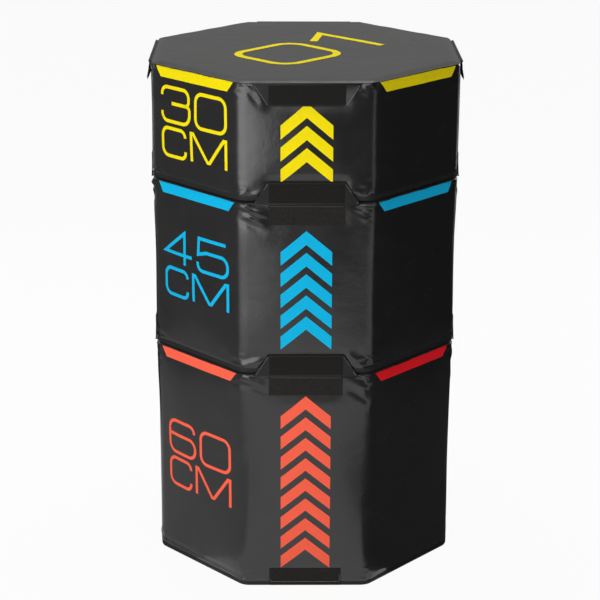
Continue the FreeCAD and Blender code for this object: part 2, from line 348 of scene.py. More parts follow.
@dataclass(frozen=True)
class Finish:
    """A finish: its material's name and colour, and the record's slot that it stands for."""

    name: str
    colour: str
    slot: str | None = None

    def surface(self, tree: NodeTree) -> Node:
        """Add the shader of the finish and return it."""
        raise NotImplementedError

    def material(self) -> Material:
        """The finish's material, made when it is first asked for."""
        found = bpy.data.materials.get(self.name)
        if found:
            return found
        made = bpy.data.materials.new(self.name)
        tree = emptied_tree(made)
        add(tree, "ShaderNodeOutputMaterial", {"Surface": self.surface(tree).outputs[0]})
        return made

    def dress(self, obj: Object) -> None:
        """Give an object this finish."""
        obj.data.materials.clear()
        obj.data.materials.append(self.material())

    def fit(self, obj: Object, body: str, node: str | None = None) -> None:
        """Dress a piece, and let it ride on a body and stand for a CAD node, if one is named."""
        self.dress(obj)
        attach(obj, body)
        if node:
            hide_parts(node)


@dataclass(frozen=True)
class CoatedFabric(Finish):
    """PVC-coated fabric, pressed smooth over a woven scrim: satin, a little uneven, the scrim just showing."""

    roughness: float = 0.42
    specular: float = 0.3
    scrim: float = 2.2
    unevenness: float = 55.0
    grain: float = 6.0
    tones: tuple[float, float] = (0.82, 1.2)
    gloss_spread: float = 0.07

    def surface(self, tree: NodeTree) -> Node:
        """Satin shader whose colour, gloss and height follow the scrim and the unevenness of the coat."""
        place = add(tree, "ShaderNodeTexCoord")
        broad = add(tree, "ShaderNodeTexNoise", {"Vector": place.outputs["Object"],
                                                 "Scale": 1 / (self.unevenness * MM), "Detail": 3.0})
        fine = add(tree, "ShaderNodeTexNoise", {"Vector": place.outputs["Object"],
                                                "Scale": 1 / (self.grain * MM), "Detail": 2.0})
        threads = []
        for direction in ("X", "Y"):
            threads.append(add(tree, "ShaderNodeTexWave", {"Vector": place.outputs["UV"],
                                                           "Scale": 1 / (self.scrim * MM) / (2 * math.pi),
                                                           "Distortion": 0.4},
                               bands_direction=direction))
        weave = add(tree, "ShaderNodeMath", {0: threads[0].outputs["Fac"], 1: threads[1].outputs["Fac"]},
                    operation="MULTIPLY")
        shade = add(tree, "ShaderNodeValToRGB", {"Fac": broad.outputs["Fac"]})
        for stop, tone in zip(shade.color_ramp.elements, self.tones):
            stop.color = toned(self.colour, tone)
        gloss = add(tree, "ShaderNodeMapRange", {"Value": broad.outputs["Fac"],
                                                 "To Min": self.roughness - self.gloss_spread,
                                                 "To Max": self.roughness + self.gloss_spread})
        low = add(tree, "ShaderNodeBump", {"Height": broad.outputs["Fac"], "Strength": 0.2, "Distance": 0.004})
        middle = add(tree, "ShaderNodeBump", {"Height": fine.outputs["Fac"], "Strength": 0.2,
                                              "Distance": 0.0008, "Normal": low.outputs["Normal"]})
        top = add(tree, "ShaderNodeBump", {"Height": weave.outputs["Value"], "Strength": 0.06,
                                           "Distance": 0.0004, "Normal": middle.outputs["Normal"]})
        return add(tree, "ShaderNodeBsdfPrincipled", {
            "Base Color": shade.outputs["Color"], "Roughness": gloss.outputs["Result"],
            "Specular IOR Level": self.specular, "Normal": top.outputs["Normal"]})


@dataclass(frozen=True)
class PileTape(Finish):
    """Hook-and-loop tape of knitted nylon: a matte pile of loops or hooks in rows, painted lighter on its tops
    as a highlight and darker between the rows as shade.
    """

    tip_colour: str = "3a3835"
    row: float = 5.2
    fuzz: float = 3.4
    sheen: float = 0.25
    specular: float = 0.08

    def surface(self, tree: NodeTree) -> Node:
        """Matte shader with rows of pile, drawn twice as coarse as real so that they show."""
        place = add(tree, "ShaderNodeTexCoord")
        rows = add(tree, "ShaderNodeTexWave", {"Vector": place.outputs["UV"],
                                               "Scale": 1 / (self.row * MM) / (2 * math.pi),
                                               "Distortion": 1.2, "Detail": 2.0, "Detail Scale": 2.0})
        fuzz = add(tree, "ShaderNodeTexNoise", {"Vector": place.outputs["Object"],
                                                "Scale": 1 / (self.fuzz * MM), "Detail": 4.0, "Roughness": 0.7})
        pile = add(tree, "ShaderNodeMath", {0: rows.outputs["Fac"], 1: fuzz.outputs["Fac"]},
                   operation="MULTIPLY")
        # The colour follows the pile's height: painted shade where it is low between the rows, a painted
        # highlight on its tops
        shade = add(tree, "ShaderNodeValToRGB", {"Fac": pile.outputs["Value"]})
        shade.color_ramp.elements[0].color = linear(self.colour)
        shade.color_ramp.elements[1].color = linear(self.tip_colour)
        shade.color_ramp.elements[0].position = 0.08
        shade.color_ramp.elements[1].position = 0.6
        bump = add(tree, "ShaderNodeBump", {"Height": pile.outputs["Value"], "Strength": 0.6,
                                            "Distance": 0.0008})
        return add(tree, "ShaderNodeBsdfPrincipled", {
            "Base Color": shade.outputs["Color"], "Roughness": 0.9, "Specular IOR Level": self.specular,
            "Sheen Weight": self.sheen, "Sheen Roughness": 0.5, "Normal": bump.outputs["Normal"]})


@dataclass(frozen=True)
class PrintedFilm(Finish):
    """Screen-printed vinyl ink: flat bright colour, satin, slightly mottled where the ink lies thin."""

    mottle: float = 9.0

    def surface(self, tree: NodeTree) -> Node:
        """Satin colour with faint mottling."""
        place = add(tree, "ShaderNodeTexCoord")
        spots = add(tree, "ShaderNodeTexNoise", {"Vector": place.outputs["Object"],
                                                 "Scale": 1 / (self.mottle * MM), "Detail": 3.0})
        shade = add(tree, "ShaderNodeValToRGB", {"Fac": spots.outputs["Fac"]})
        shade.color_ramp.elements[0].position = 0.2
        shade.color_ramp.elements[0].color = toned(self.colour, 0.92)
        shade.color_ramp.elements[1].color = linear(self.colour)
        bump = add(tree, "ShaderNodeBump", {"Height": spots.outputs["Fac"], "Strength": 0.05,
                                            "Distance": 0.0006})
        return add(tree, "ShaderNodeBsdfPrincipled", {
            "Base Color": shade.outputs["Color"], "Roughness": 0.55, "Specular IOR Level": 0.1,
            "Normal": bump.outputs["Normal"]})


@dataclass(frozen=True)
class CellFoam(Finish):
    """Open-cell polyether foam, sawn: pale, matte and pitted by its cells."""

    cell: float = 2.5

    def surface(self, tree: NodeTree) -> Node:
        """Matte shader pitted by cells, the pits darkened as painted shade."""
        place = add(tree, "ShaderNodeTexCoord")
        cells = add(tree, "ShaderNodeTexVoronoi", {"Vector": place.outputs["Object"],
                                                   "Scale": 1 / (self.cell * MM)})
        # The pits are darkened as painted shade
        shade = add(tree, "ShaderNodeValToRGB", {"Fac": cells.outputs["Distance"]})
        shade.color_ramp.elements[0].color = toned(self.colour, 0.6)
        shade.color_ramp.elements[1].color = linear(self.colour)
        bump = add(tree, "ShaderNodeBump", {"Height": cells.outputs["Distance"], "Strength": 0.5,
                                            "Distance": 0.001})
        return add(tree, "ShaderNodeBsdfPrincipled", {
            "Base Color": shade.outputs["Color"], "Roughness": 0.95, "Specular IOR Level": 0.1,
            "Normal": bump.outputs["Normal"]})


@dataclass(frozen=True)
class Woven(Finish):
    """Woven polyester, as zip tape and sewing thread: dull, with a fine twill."""

    thread: float = 1.0

    def surface(self, tree: NodeTree) -> Node:
        """Dull shader with a diagonal twill, darker in the twill's grooves as painted shade."""
        place = add(tree, "ShaderNodeTexCoord")
        twill = add(tree, "ShaderNodeTexWave", {"Vector": place.outputs["Object"],
                                                "Scale": 1 / (self.thread * MM) / (2 * math.pi),
                                                "Distortion": 0.5}, bands_direction="DIAGONAL")
        # Darker in the grooves of the twill, as painted shade
        shade = add(tree, "ShaderNodeValToRGB", {"Fac": twill.outputs["Fac"]})
        shade.color_ramp.elements[0].color = toned(self.colour, 0.55)
        shade.color_ramp.elements[1].color = linear(self.colour)
        bump = add(tree, "ShaderNodeBump", {"Height": twill.outputs["Fac"], "Strength": 0.4,
                                            "Distance": 0.0004})
        return add(tree, "ShaderNodeBsdfPrincipled", {
            "Base Color": shade.outputs["Color"], "Roughness": 0.8, "Specular IOR Level": 0.25,
            "Sheen Weight": 0.2, "Normal": bump.outputs["Normal"]})


@dataclass(frozen=True)
class MouldedNylon(Finish):
    """Moulded nylon of the zip's teeth: dark, half glossy, rubbed lighter in places."""

    rub: float = 11.11

    def surface(self, tree: NodeTree) -> Node:
        """Half-glossy shader, rubbed in patches."""
        place = add(tree, "ShaderNodeTexCoord")
        rubbed = add(tree, "ShaderNodeTexNoise", {"Vector": place.outputs["Object"],
                                                  "Scale": 1 / (self.rub * MM), "Detail": 4.0})
        shade = add(tree, "ShaderNodeValToRGB", {"Fac": rubbed.outputs["Fac"]})
        shade.color_ramp.elements[0].color = linear(self.colour)
        shade.color_ramp.elements[1].color = toned(self.colour, 1.8)
        gloss = add(tree, "ShaderNodeMapRange", {"Value": rubbed.outputs["Fac"], "To Min": 0.3, "To Max": 0.5})
        return add(tree, "ShaderNodeBsdfPrincipled", {
            "Base Color": shade.outputs["Color"], "Roughness": gloss.outputs["Result"],
            "Specular IOR Level": 0.5})


@dataclass(frozen=True)
class EnamelledZinc(Finish):
    """Die-cast zinc with black enamel: glossy, with bare metal glinting where the edges are rubbed."""

    bare_colour: str = "8a8a86"
    speck: float = 2.381

    def surface(self, tree: NodeTree) -> Node:
        """Glossy enamel with rubbed specks of metal."""
        place = add(tree, "ShaderNodeTexCoord")
        rubbed = add(tree, "ShaderNodeTexNoise", {"Vector": place.outputs["Object"],
                                                  "Scale": 1 / (self.speck * MM), "Detail": 6.0,
                                                  "Roughness": 0.7})
        wear = add(tree, "ShaderNodeValToRGB", {"Fac": rubbed.outputs["Fac"]})
        wear.color_ramp.elements[0].position = 0.62
        wear.color_ramp.elements[1].position = 0.72
        shade = add(tree, "ShaderNodeValToRGB", {"Fac": wear.outputs["Color"]})
        shade.color_ramp.elements[0].color = linear(self.colour)
        shade.color_ramp.elements[1].color = linear(self.bare_colour)
        return add(tree, "ShaderNodeBsdfPrincipled", {
            "Base Color": shade.outputs["Color"], "Metallic": wear.outputs["Color"], "Roughness": 0.32})


class Ink(Enum):
    """The print colours."""

    YELLOW = "f8e302"
    BLUE = "04b5e5"
    RED = "fc654b"
    # A darker copy of the red ink, used only on the tall box's front right bar: it paints the shade on that
    # side
    CRIMSON = "ee1020"


TOP_PVC = CoatedFabric("pvc_top_panel", "2f2f2e", "top_pvc", roughness=0.36, specular=0.4)
WALL_PVC = CoatedFabric("pvc_wall_panel", "1b1b1b", "wall_pvc", roughness=0.25, specular=0.6)
BASE_PVC = CoatedFabric("pvc_base_panel", "1c1c1c", "base_pvc", roughness=0.6, specular=0.2)
FLAP_PVC = CoatedFabric("pvc_flap", "131313", "flap_pvc", roughness=0.4, specular=0.28)
WALL_TAPE = PileTape("nylon_loop_tape", "0a0a09", "loop_tape", tip_colour="403e3b", sheen=0.03)
FLAP_TAPE = PileTape("nylon_hook_tape", "030303", "hook_tape", tip_colour="3c3b38", sheen=0.01, specular=0.03)
FOAM = CellFoam("polyether_foam", "d8d6cc", "foam")
ZIP_TAPE = Woven("woven_polyester_zip_tape", "161616", "zip_tape", thread=1.2)
# Pale thread: stitches on the strips, and on the flap hems it also stands in as a painted highlight along the
# cut edges
THREAD = Woven("bonded_polyester_thread", "a09e98", thread=0.8)
BLACK_THREAD = Woven("black_polyester_thread", "1c1c1c", thread=0.8)
ZIP_NYLON = MouldedNylon("moulded_nylon_teeth", "1a1a1a", "zip_chain")
ZIP_METAL = EnamelledZinc("enamelled_zinc", "131313", "zip_metal")
INKS = {ink: PrintedFilm(f"vinyl_ink_{ink.name.lower()}", ink.value) for ink in Ink}


# Plan and places


@dataclass(frozen=True)
class Octagon:
    """Plan of the boxes: an octagon with rounded corners, in metres."""

    apothem: float
    corner_radius: float = 34 * MM

    @property
    def flat(self) -> float:
        """Length of the straight stretch of a side."""
        return 2 * (self.apothem - self.corner_radius) * math.tan(EIGHTH / 2)

    @property
    def pitch(self) -> float:
        """Way round the outline from the middle of one side to the middle of the next."""
        return self.flat + self.corner_radius * EIGHTH

    def unroll(self, points: np.ndarray) -> tuple[np.ndarray, np.ndarray]:
        """Follow the outline.

        Args:
            points: Rows of x, y and z.

        Returns:
            The way round the outline from the middle of the front, to the right seen from outside, and the
            outward direction, both for each point.
        """
        side = np.round(np.arctan2(points[:, 0], -points[:, 1]) / EIGHTH)
        cosine, sine = np.cos(side * EIGHTH), np.sin(side * EIGHTH)
        along = points[:, 0] * cosine + points[:, 1] * sine
        out = points[:, 0] * sine - points[:, 1] * cosine
        past = np.maximum(np.abs(along) - self.flat / 2, 0)
        swing = np.arctan2(past, np.maximum(out - self.apothem + self.corner_radius, SAME))
        swing = np.minimum(swing, EIGHTH / 2)
        way = side * self.pitch + np.sign(along) * (
            np.minimum(np.abs(along), self.flat / 2) + self.corner_radius * swing)
        angle = side * EIGHTH + np.sign(along) * swing
        return way, np.stack([np.sin(angle), -np.cos(angle), np.zeros(len(angle))], axis=1)

    def wind(self, way: np.ndarray, out: np.ndarray, height: np.ndarray) -> np.ndarray:
        """Points at these ways round the outline, distances out of it and heights."""
        side = np.round(way / self.pitch)
        offset = way - side * self.pitch
        swing = np.sign(offset) * np.maximum(np.abs(offset) - self.flat / 2, 0) / self.corner_radius
        along = np.clip(offset, -self.flat / 2, self.flat / 2) + (self.corner_radius + out) * np.sin(swing)
        away = self.apothem - self.corner_radius + (self.corner_radius + out) * np.cos(swing)
        cosine, sine = np.cos(side * EIGHTH), np.sin(side * EIGHTH)
        return np.stack([along * cosine + away * sine, along * sine - away * cosine, height], axis=1)

    def from_side_middle(self, way: np.ndarray) -> np.ndarray:
        """Way along its side from the side's middle, for each way round the outline."""
        return way - np.round(way / self.pitch) * self.pitch

    def on_flap_side(self, way: np.ndarray) -> np.ndarray:
        """True where the way round the outline is on a side with a flap."""
        return np.round(way / self.pitch).astype(int) % 2 == 0

    def way_from_flap(self, way: np.ndarray, turn: int) -> np.ndarray:
        """Way from the middle of the flap side so many quarter turns on, mirrored on every other one."""
        half = 4 * self.pitch
        local = (way - 2 * turn * self.pitch + half) % (2 * half) - half
        return local if turn % 2 == 0 else -local

    def loop(self, height: float, name: str, straight_cuts: int = 19, corner_steps: int = 4) -> Object:
        """Closed outline as edges, its points packed towards the corners.

        Args:
            height: Height of the outline.
            name: Name of the new object.
            straight_cuts: Points along each straight stretch.
            corner_steps: Edges round each corner.

        Returns:
            The outline.
        """
        clear_selection()
        bpy.ops.mesh.primitive_circle_add(vertices=8, radius=self.apothem / math.cos(EIGHTH / 2),
                                          location=(0, 0, height), rotation=(0, 0, EIGHTH / 2))
        obj = bpy.context.object
        obj.name = name
        settled(obj)
        with editing(obj):
            bpy.ops.mesh.bevel(offset_type="OFFSET", offset=self.corner_radius * math.tan(EIGHTH / 2),
                               segments=corner_steps, affect="VERTICES")
        with editing(obj, Part.EDGES, edge_lengths(obj) > self.flat / 2):
            bpy.ops.mesh.subdivide(number_cuts=straight_cuts)
        self.pack_towards_corners(obj)
        return obj

    def pack_towards_corners(self, obj: Object, packing: float = 0.35) -> None:
        """Slide the points of the straight stretches towards the corners, where the fabric crumples."""
        points = points_of(obj)
        way, normals = self.unroll(points)
        offset = self.from_side_middle(way)
        share = np.clip(offset / (self.flat / 2), -1, 1)
        slide = (packing * (share - share ** 3)) * self.flat / 2
        slide[np.abs(offset) > self.flat / 2 - SAME] = 0
        tangents = np.stack([-normals[:, 1], normals[:, 0], normals[:, 2]], axis=1)
        put_points(obj, points + tangents * slide[:, None])


@dataclass(frozen=True)
class Crease:
    """A fold in the wall: a ridge, or a valley if its rise is negative. Ways and heights in millimetres."""

    start: tuple[float, float]
    end: tuple[float, float]
    width: float
    rise: float
    end_share: float = 0.08

    def lift(self, way: np.ndarray, height: np.ndarray) -> np.ndarray:
        """How far the fold lifts the fabric at each way round the outline and height, in metres."""
        start, end = np.array(self.start), np.array(self.end)
        run = end - start
        points = np.stack([way / MM, height / MM], axis=1) - start
        share = np.clip(points @ run / (run @ run), 0, 1)
        distance = np.linalg.norm(points - share[:, None] * run, axis=1)
        taper = np.sin(math.pi * (self.end_share + (1 - 2 * self.end_share) * share))
        return self.rise * MM * taper * np.exp(-(distance / self.width) ** 2)


@dataclass(frozen=True)
class BoxMarks:
    """Printed marks and folds of one box. Heights in millimetres above its floor."""

    box: str
    ink: Ink
    height_text: str
    level_text: str
    arrow_count: int
    arrow_tip: float
    arrow_pitch: float
    digits_top: float
    digit_height: float
    creases: tuple[Crease, ...]
    flaps_hang: bool = False
    # Darker ink for the front right bar only, which paints the shade on that side
    right_bar: Ink | None = None


@dataclass(frozen=True)
class BoxPlaces:
    """Where one box lies, read from the frame, in metres."""

    box: str
    plan: Octagon
    floor: float
    base_seam: float
    top_seam: float
    top: float

    @classmethod
    def measured(cls, box: str) -> "BoxPlaces":
        """Read the places of a box from its cover's nodes."""
        wall_low, wall_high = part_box(f"{box}_side_wall")
        return cls(box, Octagon((wall_high.y - wall_low.y) / 2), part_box(f"{box}_base_panel")[0].z,
                   wall_low.z, wall_high.z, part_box(f"{box}_top_panel")[1].z)


# Covers


@dataclass(frozen=True)
class Ripple:
    """Smooth unevenness of fabric: its height, and its size along x, y and z, in millimetres.

    The shift keeps ripples with the same seed apart.
    """

    height: float
    size: tuple[float, float, float]
    shift: float = 0.0

    def at(self, points: np.ndarray, seed: float) -> np.ndarray:
        """The ripple's noise at each point, from about -1 to 1."""
        return noise_at(points, np.array(self.size) * MM, seed + self.shift)


# How the cover's fabric is blown out: soft, held at its seams, and without weight
CLOTH = {
    "quality": 3,
    "mass": 0.3,
    "tension_stiffness": 40,
    "compression_stiffness": 40,
    "bending_stiffness": 0.5,
    "shrink_min": -0.006,
    "use_pressure": True,
    "uniform_pressure_force": 4,
    "vertex_group_mass": "seams",
}


@dataclass
class Cover:
    """Padded cover of one box: lid, wall and floor panel, sewn at two seams.

    A field that is a pair holds the distances between which the fabric goes over from one state to the other.
    """

    places: BoxPlaces
    marks: BoxMarks
    seed: float
    upper_band: float = 50.0
    band_row: float = 6.5
    wall_row: float = 12.5
    slot_height: float = 13.0
    slot_middle: float = 62.0
    slot_border: tuple[float, float] = (2.0, 3.0)
    edge_round: float = 2.4
    lid_border: float = 9.0
    crown_width: float = 26.0
    crown_fall: float = 5.4
    fabric: float = 1.2
    puff_cap: float = 5.5
    lift_cap: float = 8.0
    flap_press: float = 0.6
    seam_draw: float = 1.6
    seam_groove: float = 2.4
    strip_ends: tuple[float, float] = (94.0, 110.0)
    upper_strip: tuple[float, float] = (56.0, 68.0)
    lower_strip: tuple[float, float] = (51.0, 62.0)
    zip_band: tuple[float, float] = (8.0, 20.0)
    zip_ends: tuple[float, float] = (-60.0, -20.0)
    flap_ends: tuple[float, float] = (130.0, 142.0)
    flap_tip: tuple[float, float] = (58.0, 66.0)
    waves: Ripple = Ripple(1.3, (110, 110, 160))
    puckers: Ripple = Ripple(1.1, (26, 26, 75), shift=3)
    pucker_reach: float = 26.0
    crumples: Ripple = Ripple(3.2, (30, 30, 16), shift=7)
    crumple_reach: tuple[float, float] = (34.0, 17.0)
    lid_waves: Ripple = Ripple(1.2, (45, 45, 500), shift=11)
    lid_wave_reach: float = 38.0
    lid_dips: Ripple = Ripple(0.8, (170, 170, 500), shift=13)

    def build(self) -> Object:
        """Model, puff out, sculpt and dress the three panels.

        Returns:
            The closed form of the whole cover, which strips and prints are laid on. The caller discards it.
        """
        form = self.closed_form()
        self.puff(form)
        finish_with(form, "SUBSURF", levels=1, render_levels=1)
        self.sculpt(form)
        self.panels(copied(form, f"{self.places.box}_cover"))
        return form

    def closed_form(self) -> Object:
        """Octagonal block with rounded edges and rows of faces as fine as its folds need."""
        p = self.places
        form = p.plan.loop(p.floor, f"{p.box}_form")
        slot_low = p.floor + (self.slot_middle - self.slot_height / 2) * MM
        slot_high = slot_low + self.slot_height * MM
        below, above = slot_low - self.slot_border[0] * MM, slot_high + self.slot_border[1] * MM
        band = p.top_seam - self.upper_band * MM
        levels = [p.base_seam, below, slot_low, slot_high, above, band, p.top_seam, p.top]
        with editing(form):
            bpy.ops.mesh.edge_face_add()
            height = p.floor
            for level in levels:
                bpy.ops.mesh.extrude_region_move(TRANSFORM_OT_translate={"value": (0, 0, level - height)})
                height = level
            bpy.ops.mesh.select_all(action="SELECT")
            bpy.ops.mesh.normals_make_consistent(inside=False)
        self.split_rows(form, p.base_seam, below, self.band_row)
        self.split_rows(form, above, band, self.wall_row)
        self.split_rows(form, band, p.top_seam, self.band_row)
        self.round_rims(form)
        for normal in (1, -1):
            self.fill_cap(form, normal)
        return form

    def split_rows(self, form: Object, low: float, high: float, row: float) -> None:
        """Split the upright edges between two heights into rows of about this height."""
        first, second = edge_ends(form)
        bottom, top = np.minimum(first[:, 2], second[:, 2]), np.maximum(first[:, 2], second[:, 2])
        upright = (np.abs(bottom - low) < NEAR) & (np.abs(top - high) < NEAR)
        with editing(form, Part.EDGES, upright):
            bpy.ops.mesh.subdivide(number_cuts=max(1, round((high - low) / (row * MM)) - 1))

    def round_rims(self, form: Object) -> None:
        """Bevel the top and bottom rims."""
        for height in (self.places.floor, self.places.top):
            first, second = edge_ends(form)
            rim = (np.abs(first[:, 2] - height) < NEAR) & (np.abs(second[:, 2] - height) < NEAR)
            with editing(form, Part.EDGES, rim):
                bpy.ops.mesh.bevel(offset_type="OFFSET", offset=self.edge_round * MM, segments=2,
                                   affect="EDGES")

    def fill_cap(self, form: Object, normal: int) -> None:
        """Turn the many-sided face at the top or bottom into two borders and a grid."""
        with editing(form, Part.FACES, self.cap(form, normal)):
            bpy.ops.mesh.inset(thickness=self.lid_border * MM)
            bpy.ops.mesh.inset(thickness=self.lid_border * MM)
        with editing(form, Part.FACES, self.cap(form, normal)):
            bpy.ops.mesh.delete(type="ONLY_FACE")
            bpy.ops.mesh.select_all(action="DESELECT")
            bpy.ops.mesh.select_mode(type="EDGE")
            bpy.ops.mesh.select_non_manifold(extend=False, use_wire=False, use_multi_face=False,
                                             use_non_contiguous=False, use_verts=False)
            bpy.ops.mesh.fill_grid(span=len(self.rim_edges(form)) // 4)
            bpy.ops.mesh.select_all(action="SELECT")
            bpy.ops.mesh.normals_make_consistent(inside=False)

    def rim_edges(self, form: Object) -> list[bmesh.types.BMEdge]:
        """Open edges of a mesh that is in edit mode."""
        return [edge for edge in bmesh.from_edit_mesh(form.data).edges if edge.is_boundary]

    def cap(self, form: Object, normal: int) -> np.ndarray:
        """True for the face with many corners that looks up, or down if the normal is -1."""
        corners = np.empty(len(form.data.polygons), int)
        form.data.polygons.foreach_get("loop_total", corners)
        return (face_normals(form)[:, 2] * normal > 0.9) & (corners > 8)

    def puff(self, form: Object, frames: int = 12) -> None:
        """Blow the wall out a little between its seams by a cloth run, and scale its moves down to the cap.

        Args:
            form: The closed form.
            frames: Steps of the run.
        """
        rest = points_of(form)
        held = (rest[:, 2] < self.places.base_seam + MM) | (rest[:, 2] > self.places.top_seam - MM)
        group = form.vertex_groups.new(name=CLOTH["vertex_group_mass"])
        group.add(np.flatnonzero(held).tolist(), 1.0, "REPLACE")
        cloth = form.modifiers.new("cloth", "CLOTH")
        for name, value in CLOTH.items():
            setattr(cloth.settings, name, value)
        cloth.settings.effector_weights.gravity = 0
        for step in range(1, frames + 1):
            bpy.context.scene.frame_set(step)
        take(form)
        bpy.ops.object.modifier_apply(modifier=cloth.name)
        bpy.context.scene.frame_set(1)
        form.vertex_groups.clear()
        moves = points_of(form) - rest
        most = np.linalg.norm(moves, axis=1).max()
        LOG.info("%s puffed by %.1f mm at most before the cap", form.name, most / MM)
        way, _ = self.places.plan.unroll(rest)
        free = 1 - self.stiffened(way, rest)
        put_points(form, rest + moves * (min(1, self.puff_cap * MM / most) * free)[:, None])

    def stiffened(self, way: np.ndarray, points: np.ndarray) -> np.ndarray:
        """1 where a sewn strip or the zip keeps the wall flat, 0 where it is free, for each point."""
        p = self.places
        height = (points[:, 2] - p.floor) / MM
        offset = np.abs(p.plan.from_side_middle(way)) / MM
        beside = (1 - eased(offset, *self.strip_ends)) * p.plan.on_flap_side(way)
        above = 1 - eased((p.top_seam - points[:, 2]) / MM, *self.upper_strip)
        below = 1 - eased(height, *self.lower_strip)
        from_zip = np.abs(height - self.slot_middle)
        at_zip = (1 - eased(from_zip, *self.zip_band)) * eased(points[:, 1] / MM, *self.zip_ends)
        return np.maximum(beside * np.maximum(above, below), at_zip)

    def under_flap(self, way: np.ndarray, height: np.ndarray) -> np.ndarray:
        """1 where a flap that is folded down lies on the wall, 0 elsewhere, for each way and height."""
        p = self.places
        offset = np.abs(p.plan.from_side_middle(way)) / MM
        from_top = (p.top_seam - p.floor - height) / MM
        beside = (1 - eased(offset, *self.flap_ends)) * p.plan.on_flap_side(way)
        return beside * (1 - eased(from_top, *self.flap_tip))

    def sculpt(self, form: Object) -> None:
        """Draw in the seams and work waves, puckers, crumples and the photographed folds into the form."""
        p = self.places
        points = points_of(form)
        way, normals = p.plan.unroll(points)
        height = points[:, 2] - p.floor
        from_seam = np.minimum(np.abs(points[:, 2] - p.base_seam), np.abs(points[:, 2] - p.top_seam))
        from_corner = p.plan.pitch / 2 - np.abs(p.plan.from_side_middle(way))
        lift = self.waves.height * MM * self.waves.at(points, self.seed)
        near_seam = np.exp(-from_seam / (self.pucker_reach * MM))
        lift += self.puckers.height * MM * near_seam * self.puckers.at(points, self.seed)
        across, along = (reach * MM for reach in self.crumple_reach)
        at_corner = np.exp(-(from_corner / across) ** 2) * np.exp(-from_seam / along)
        # Where the noise is near zero the fabric stands up in sharp ridges, and elsewhere it sinks
        sharp = 0.6 - 3 * np.abs(self.crumples.at(points, self.seed))
        lift += self.crumples.height * MM * at_corner * sharp
        for crease in self.marks.creases:
            for turn in range(4):
                lift += crease.lift(p.plan.way_from_flap(way, turn), height)
        lift *= 1 - self.stiffened(way, points)
        lift *= 1 - self.flap_press * self.under_flap(way, height) * (lift > 0)
        on_wall = eased(points[:, 2], p.floor + 2 * MM, p.base_seam + 3 * MM)
        on_wall *= 1 - eased(points[:, 2], p.top_seam + MM, p.top - MM)
        lift -= self.seam_draw * MM * np.exp(-(from_seam / (self.seam_groove * MM)) ** 2)
        lift = np.clip(lift * on_wall, -self.lift_cap * MM, self.lift_cap * MM)
        points += normals * lift[:, None]
        points[:, 2] -= self.lid_fall(points)
        put_points(form, points)

    def lid_fall(self, points: np.ndarray) -> np.ndarray:
        """How far the lid falls at each point: its rolled edge, and waves that die out towards the middle."""
        p = self.places
        side = np.round(np.arctan2(points[:, 0], -points[:, 1]) / EIGHTH) * EIGHTH
        inside = p.plan.apothem - (points[:, 0] * np.sin(side) - points[:, 1] * np.cos(side))
        on_lid = np.clip((points[:, 2] - p.top_seam) / (p.top - p.top_seam), 0, 1)
        crown = np.clip(1 - inside / (self.crown_width * MM), 0, 1) ** 2 * self.crown_fall * MM
        near_edge = np.exp(-np.maximum(inside, 0) / (self.lid_wave_reach * MM))
        # The noise hardly reaches the levels taken from it, so that the lid never rises above its plane
        waves = np.minimum(self.lid_waves.at(points, self.seed) - 0.6, 0) * self.lid_waves.height * MM
        dips = np.minimum(self.lid_dips.at(points, self.seed) - 0.7, 0) * self.lid_dips.height * MM
        return (crown - waves * near_edge - dips) * on_lid

    def panels(self, cover: Object) -> None:
        """Part the cover at its seams into lid, wall and floor panel, each with its thickness and finish."""
        p = self.places
        heights = face_centres(cover)[:, 2]
        pieces = {
            f"{p.box}_floor_panel": (heights < p.base_seam, BASE_PVC, f"{p.box}_base_panel"),
            f"{p.box}_wall": ((heights > p.base_seam) & (heights < p.top_seam), WALL_PVC, f"{p.box}_side_wall"),
            f"{p.box}_lid": (heights > p.top_seam, TOP_PVC, f"{p.box}_top_panel"),
        }
        for name, (kept, finish, node) in pieces.items():
            panel = copied(cover, name)
            if node.endswith("side_wall"):
                kept &= ~self.in_slot(panel)
            with editing(panel, Part.FACES, ~kept):
                bpy.ops.mesh.delete(type="FACE")
            self.lay_out(panel, node.endswith("side_wall"))
            finish_with(panel, "SOLIDIFY", thickness=self.fabric * MM, offset=-1)
            smooth(panel, 50)
            finish.fit(panel, p.box, node)
            LOG.info("%s: %d faces", name, len(panel.data.polygons))
        discard(cover)

    def in_slot(self, panel: Object) -> np.ndarray:
        """True for each face in the zip's slot, round the back half of the wall."""
        centres = face_centres(panel)
        middle = self.places.floor + self.slot_middle * MM
        return (np.abs(centres[:, 2] - middle) < self.slot_height * MM / 2) & (centres[:, 1] > 0)

    def lay_out(self, panel: Object, upright: bool) -> None:
        """Lay the weave along the wall, or across a lid."""
        points = points_of(panel)
        if upright:
            way, _ = self.places.plan.unroll(points)
            unwrap(panel, way, points[:, 2])
        else:
            unwrap(panel, points[:, 0], points[:, 1])


# Pieces that are laid on the covers


def upright_plate(name: str, width: float, height: float, middle: Sequence[float]) -> Object:
    """Rectangle that faces the front, in metres."""
    clear_selection()
    bpy.ops.mesh.primitive_plane_add(size=1, location=middle, rotation=(math.pi / 2, 0, 0))
    obj = bpy.context.object
    obj.name = name
    settled(obj)
    with editing(obj):
        bpy.ops.transform.resize(value=(width, 1, height), center_override=middle)
    return obj


def lay_on(obj: Object, form: Object, gap: float | np.ndarray, thickness: float) -> None:
    """Press a flat piece onto a cover and thicken it outwards.

    Args:
        obj: The piece, facing its own -Y in front of the cover.
        form: The closed form of the cover.
        gap: How far the piece's back stands off the cover, in metres, everywhere or at each vertex.
        thickness: The piece's thickness, in metres.
    """
    finish_with(obj, "SHRINKWRAP", target=form, wrap_method="PROJECT", use_project_y=True,
                use_positive_direction=True, use_negative_direction=False)
    points = points_of(obj)
    points[:, 1] -= gap
    put_points(obj, points)
    finish_with(obj, "SOLIDIFY", thickness=thickness, offset=1)
    settled(obj)


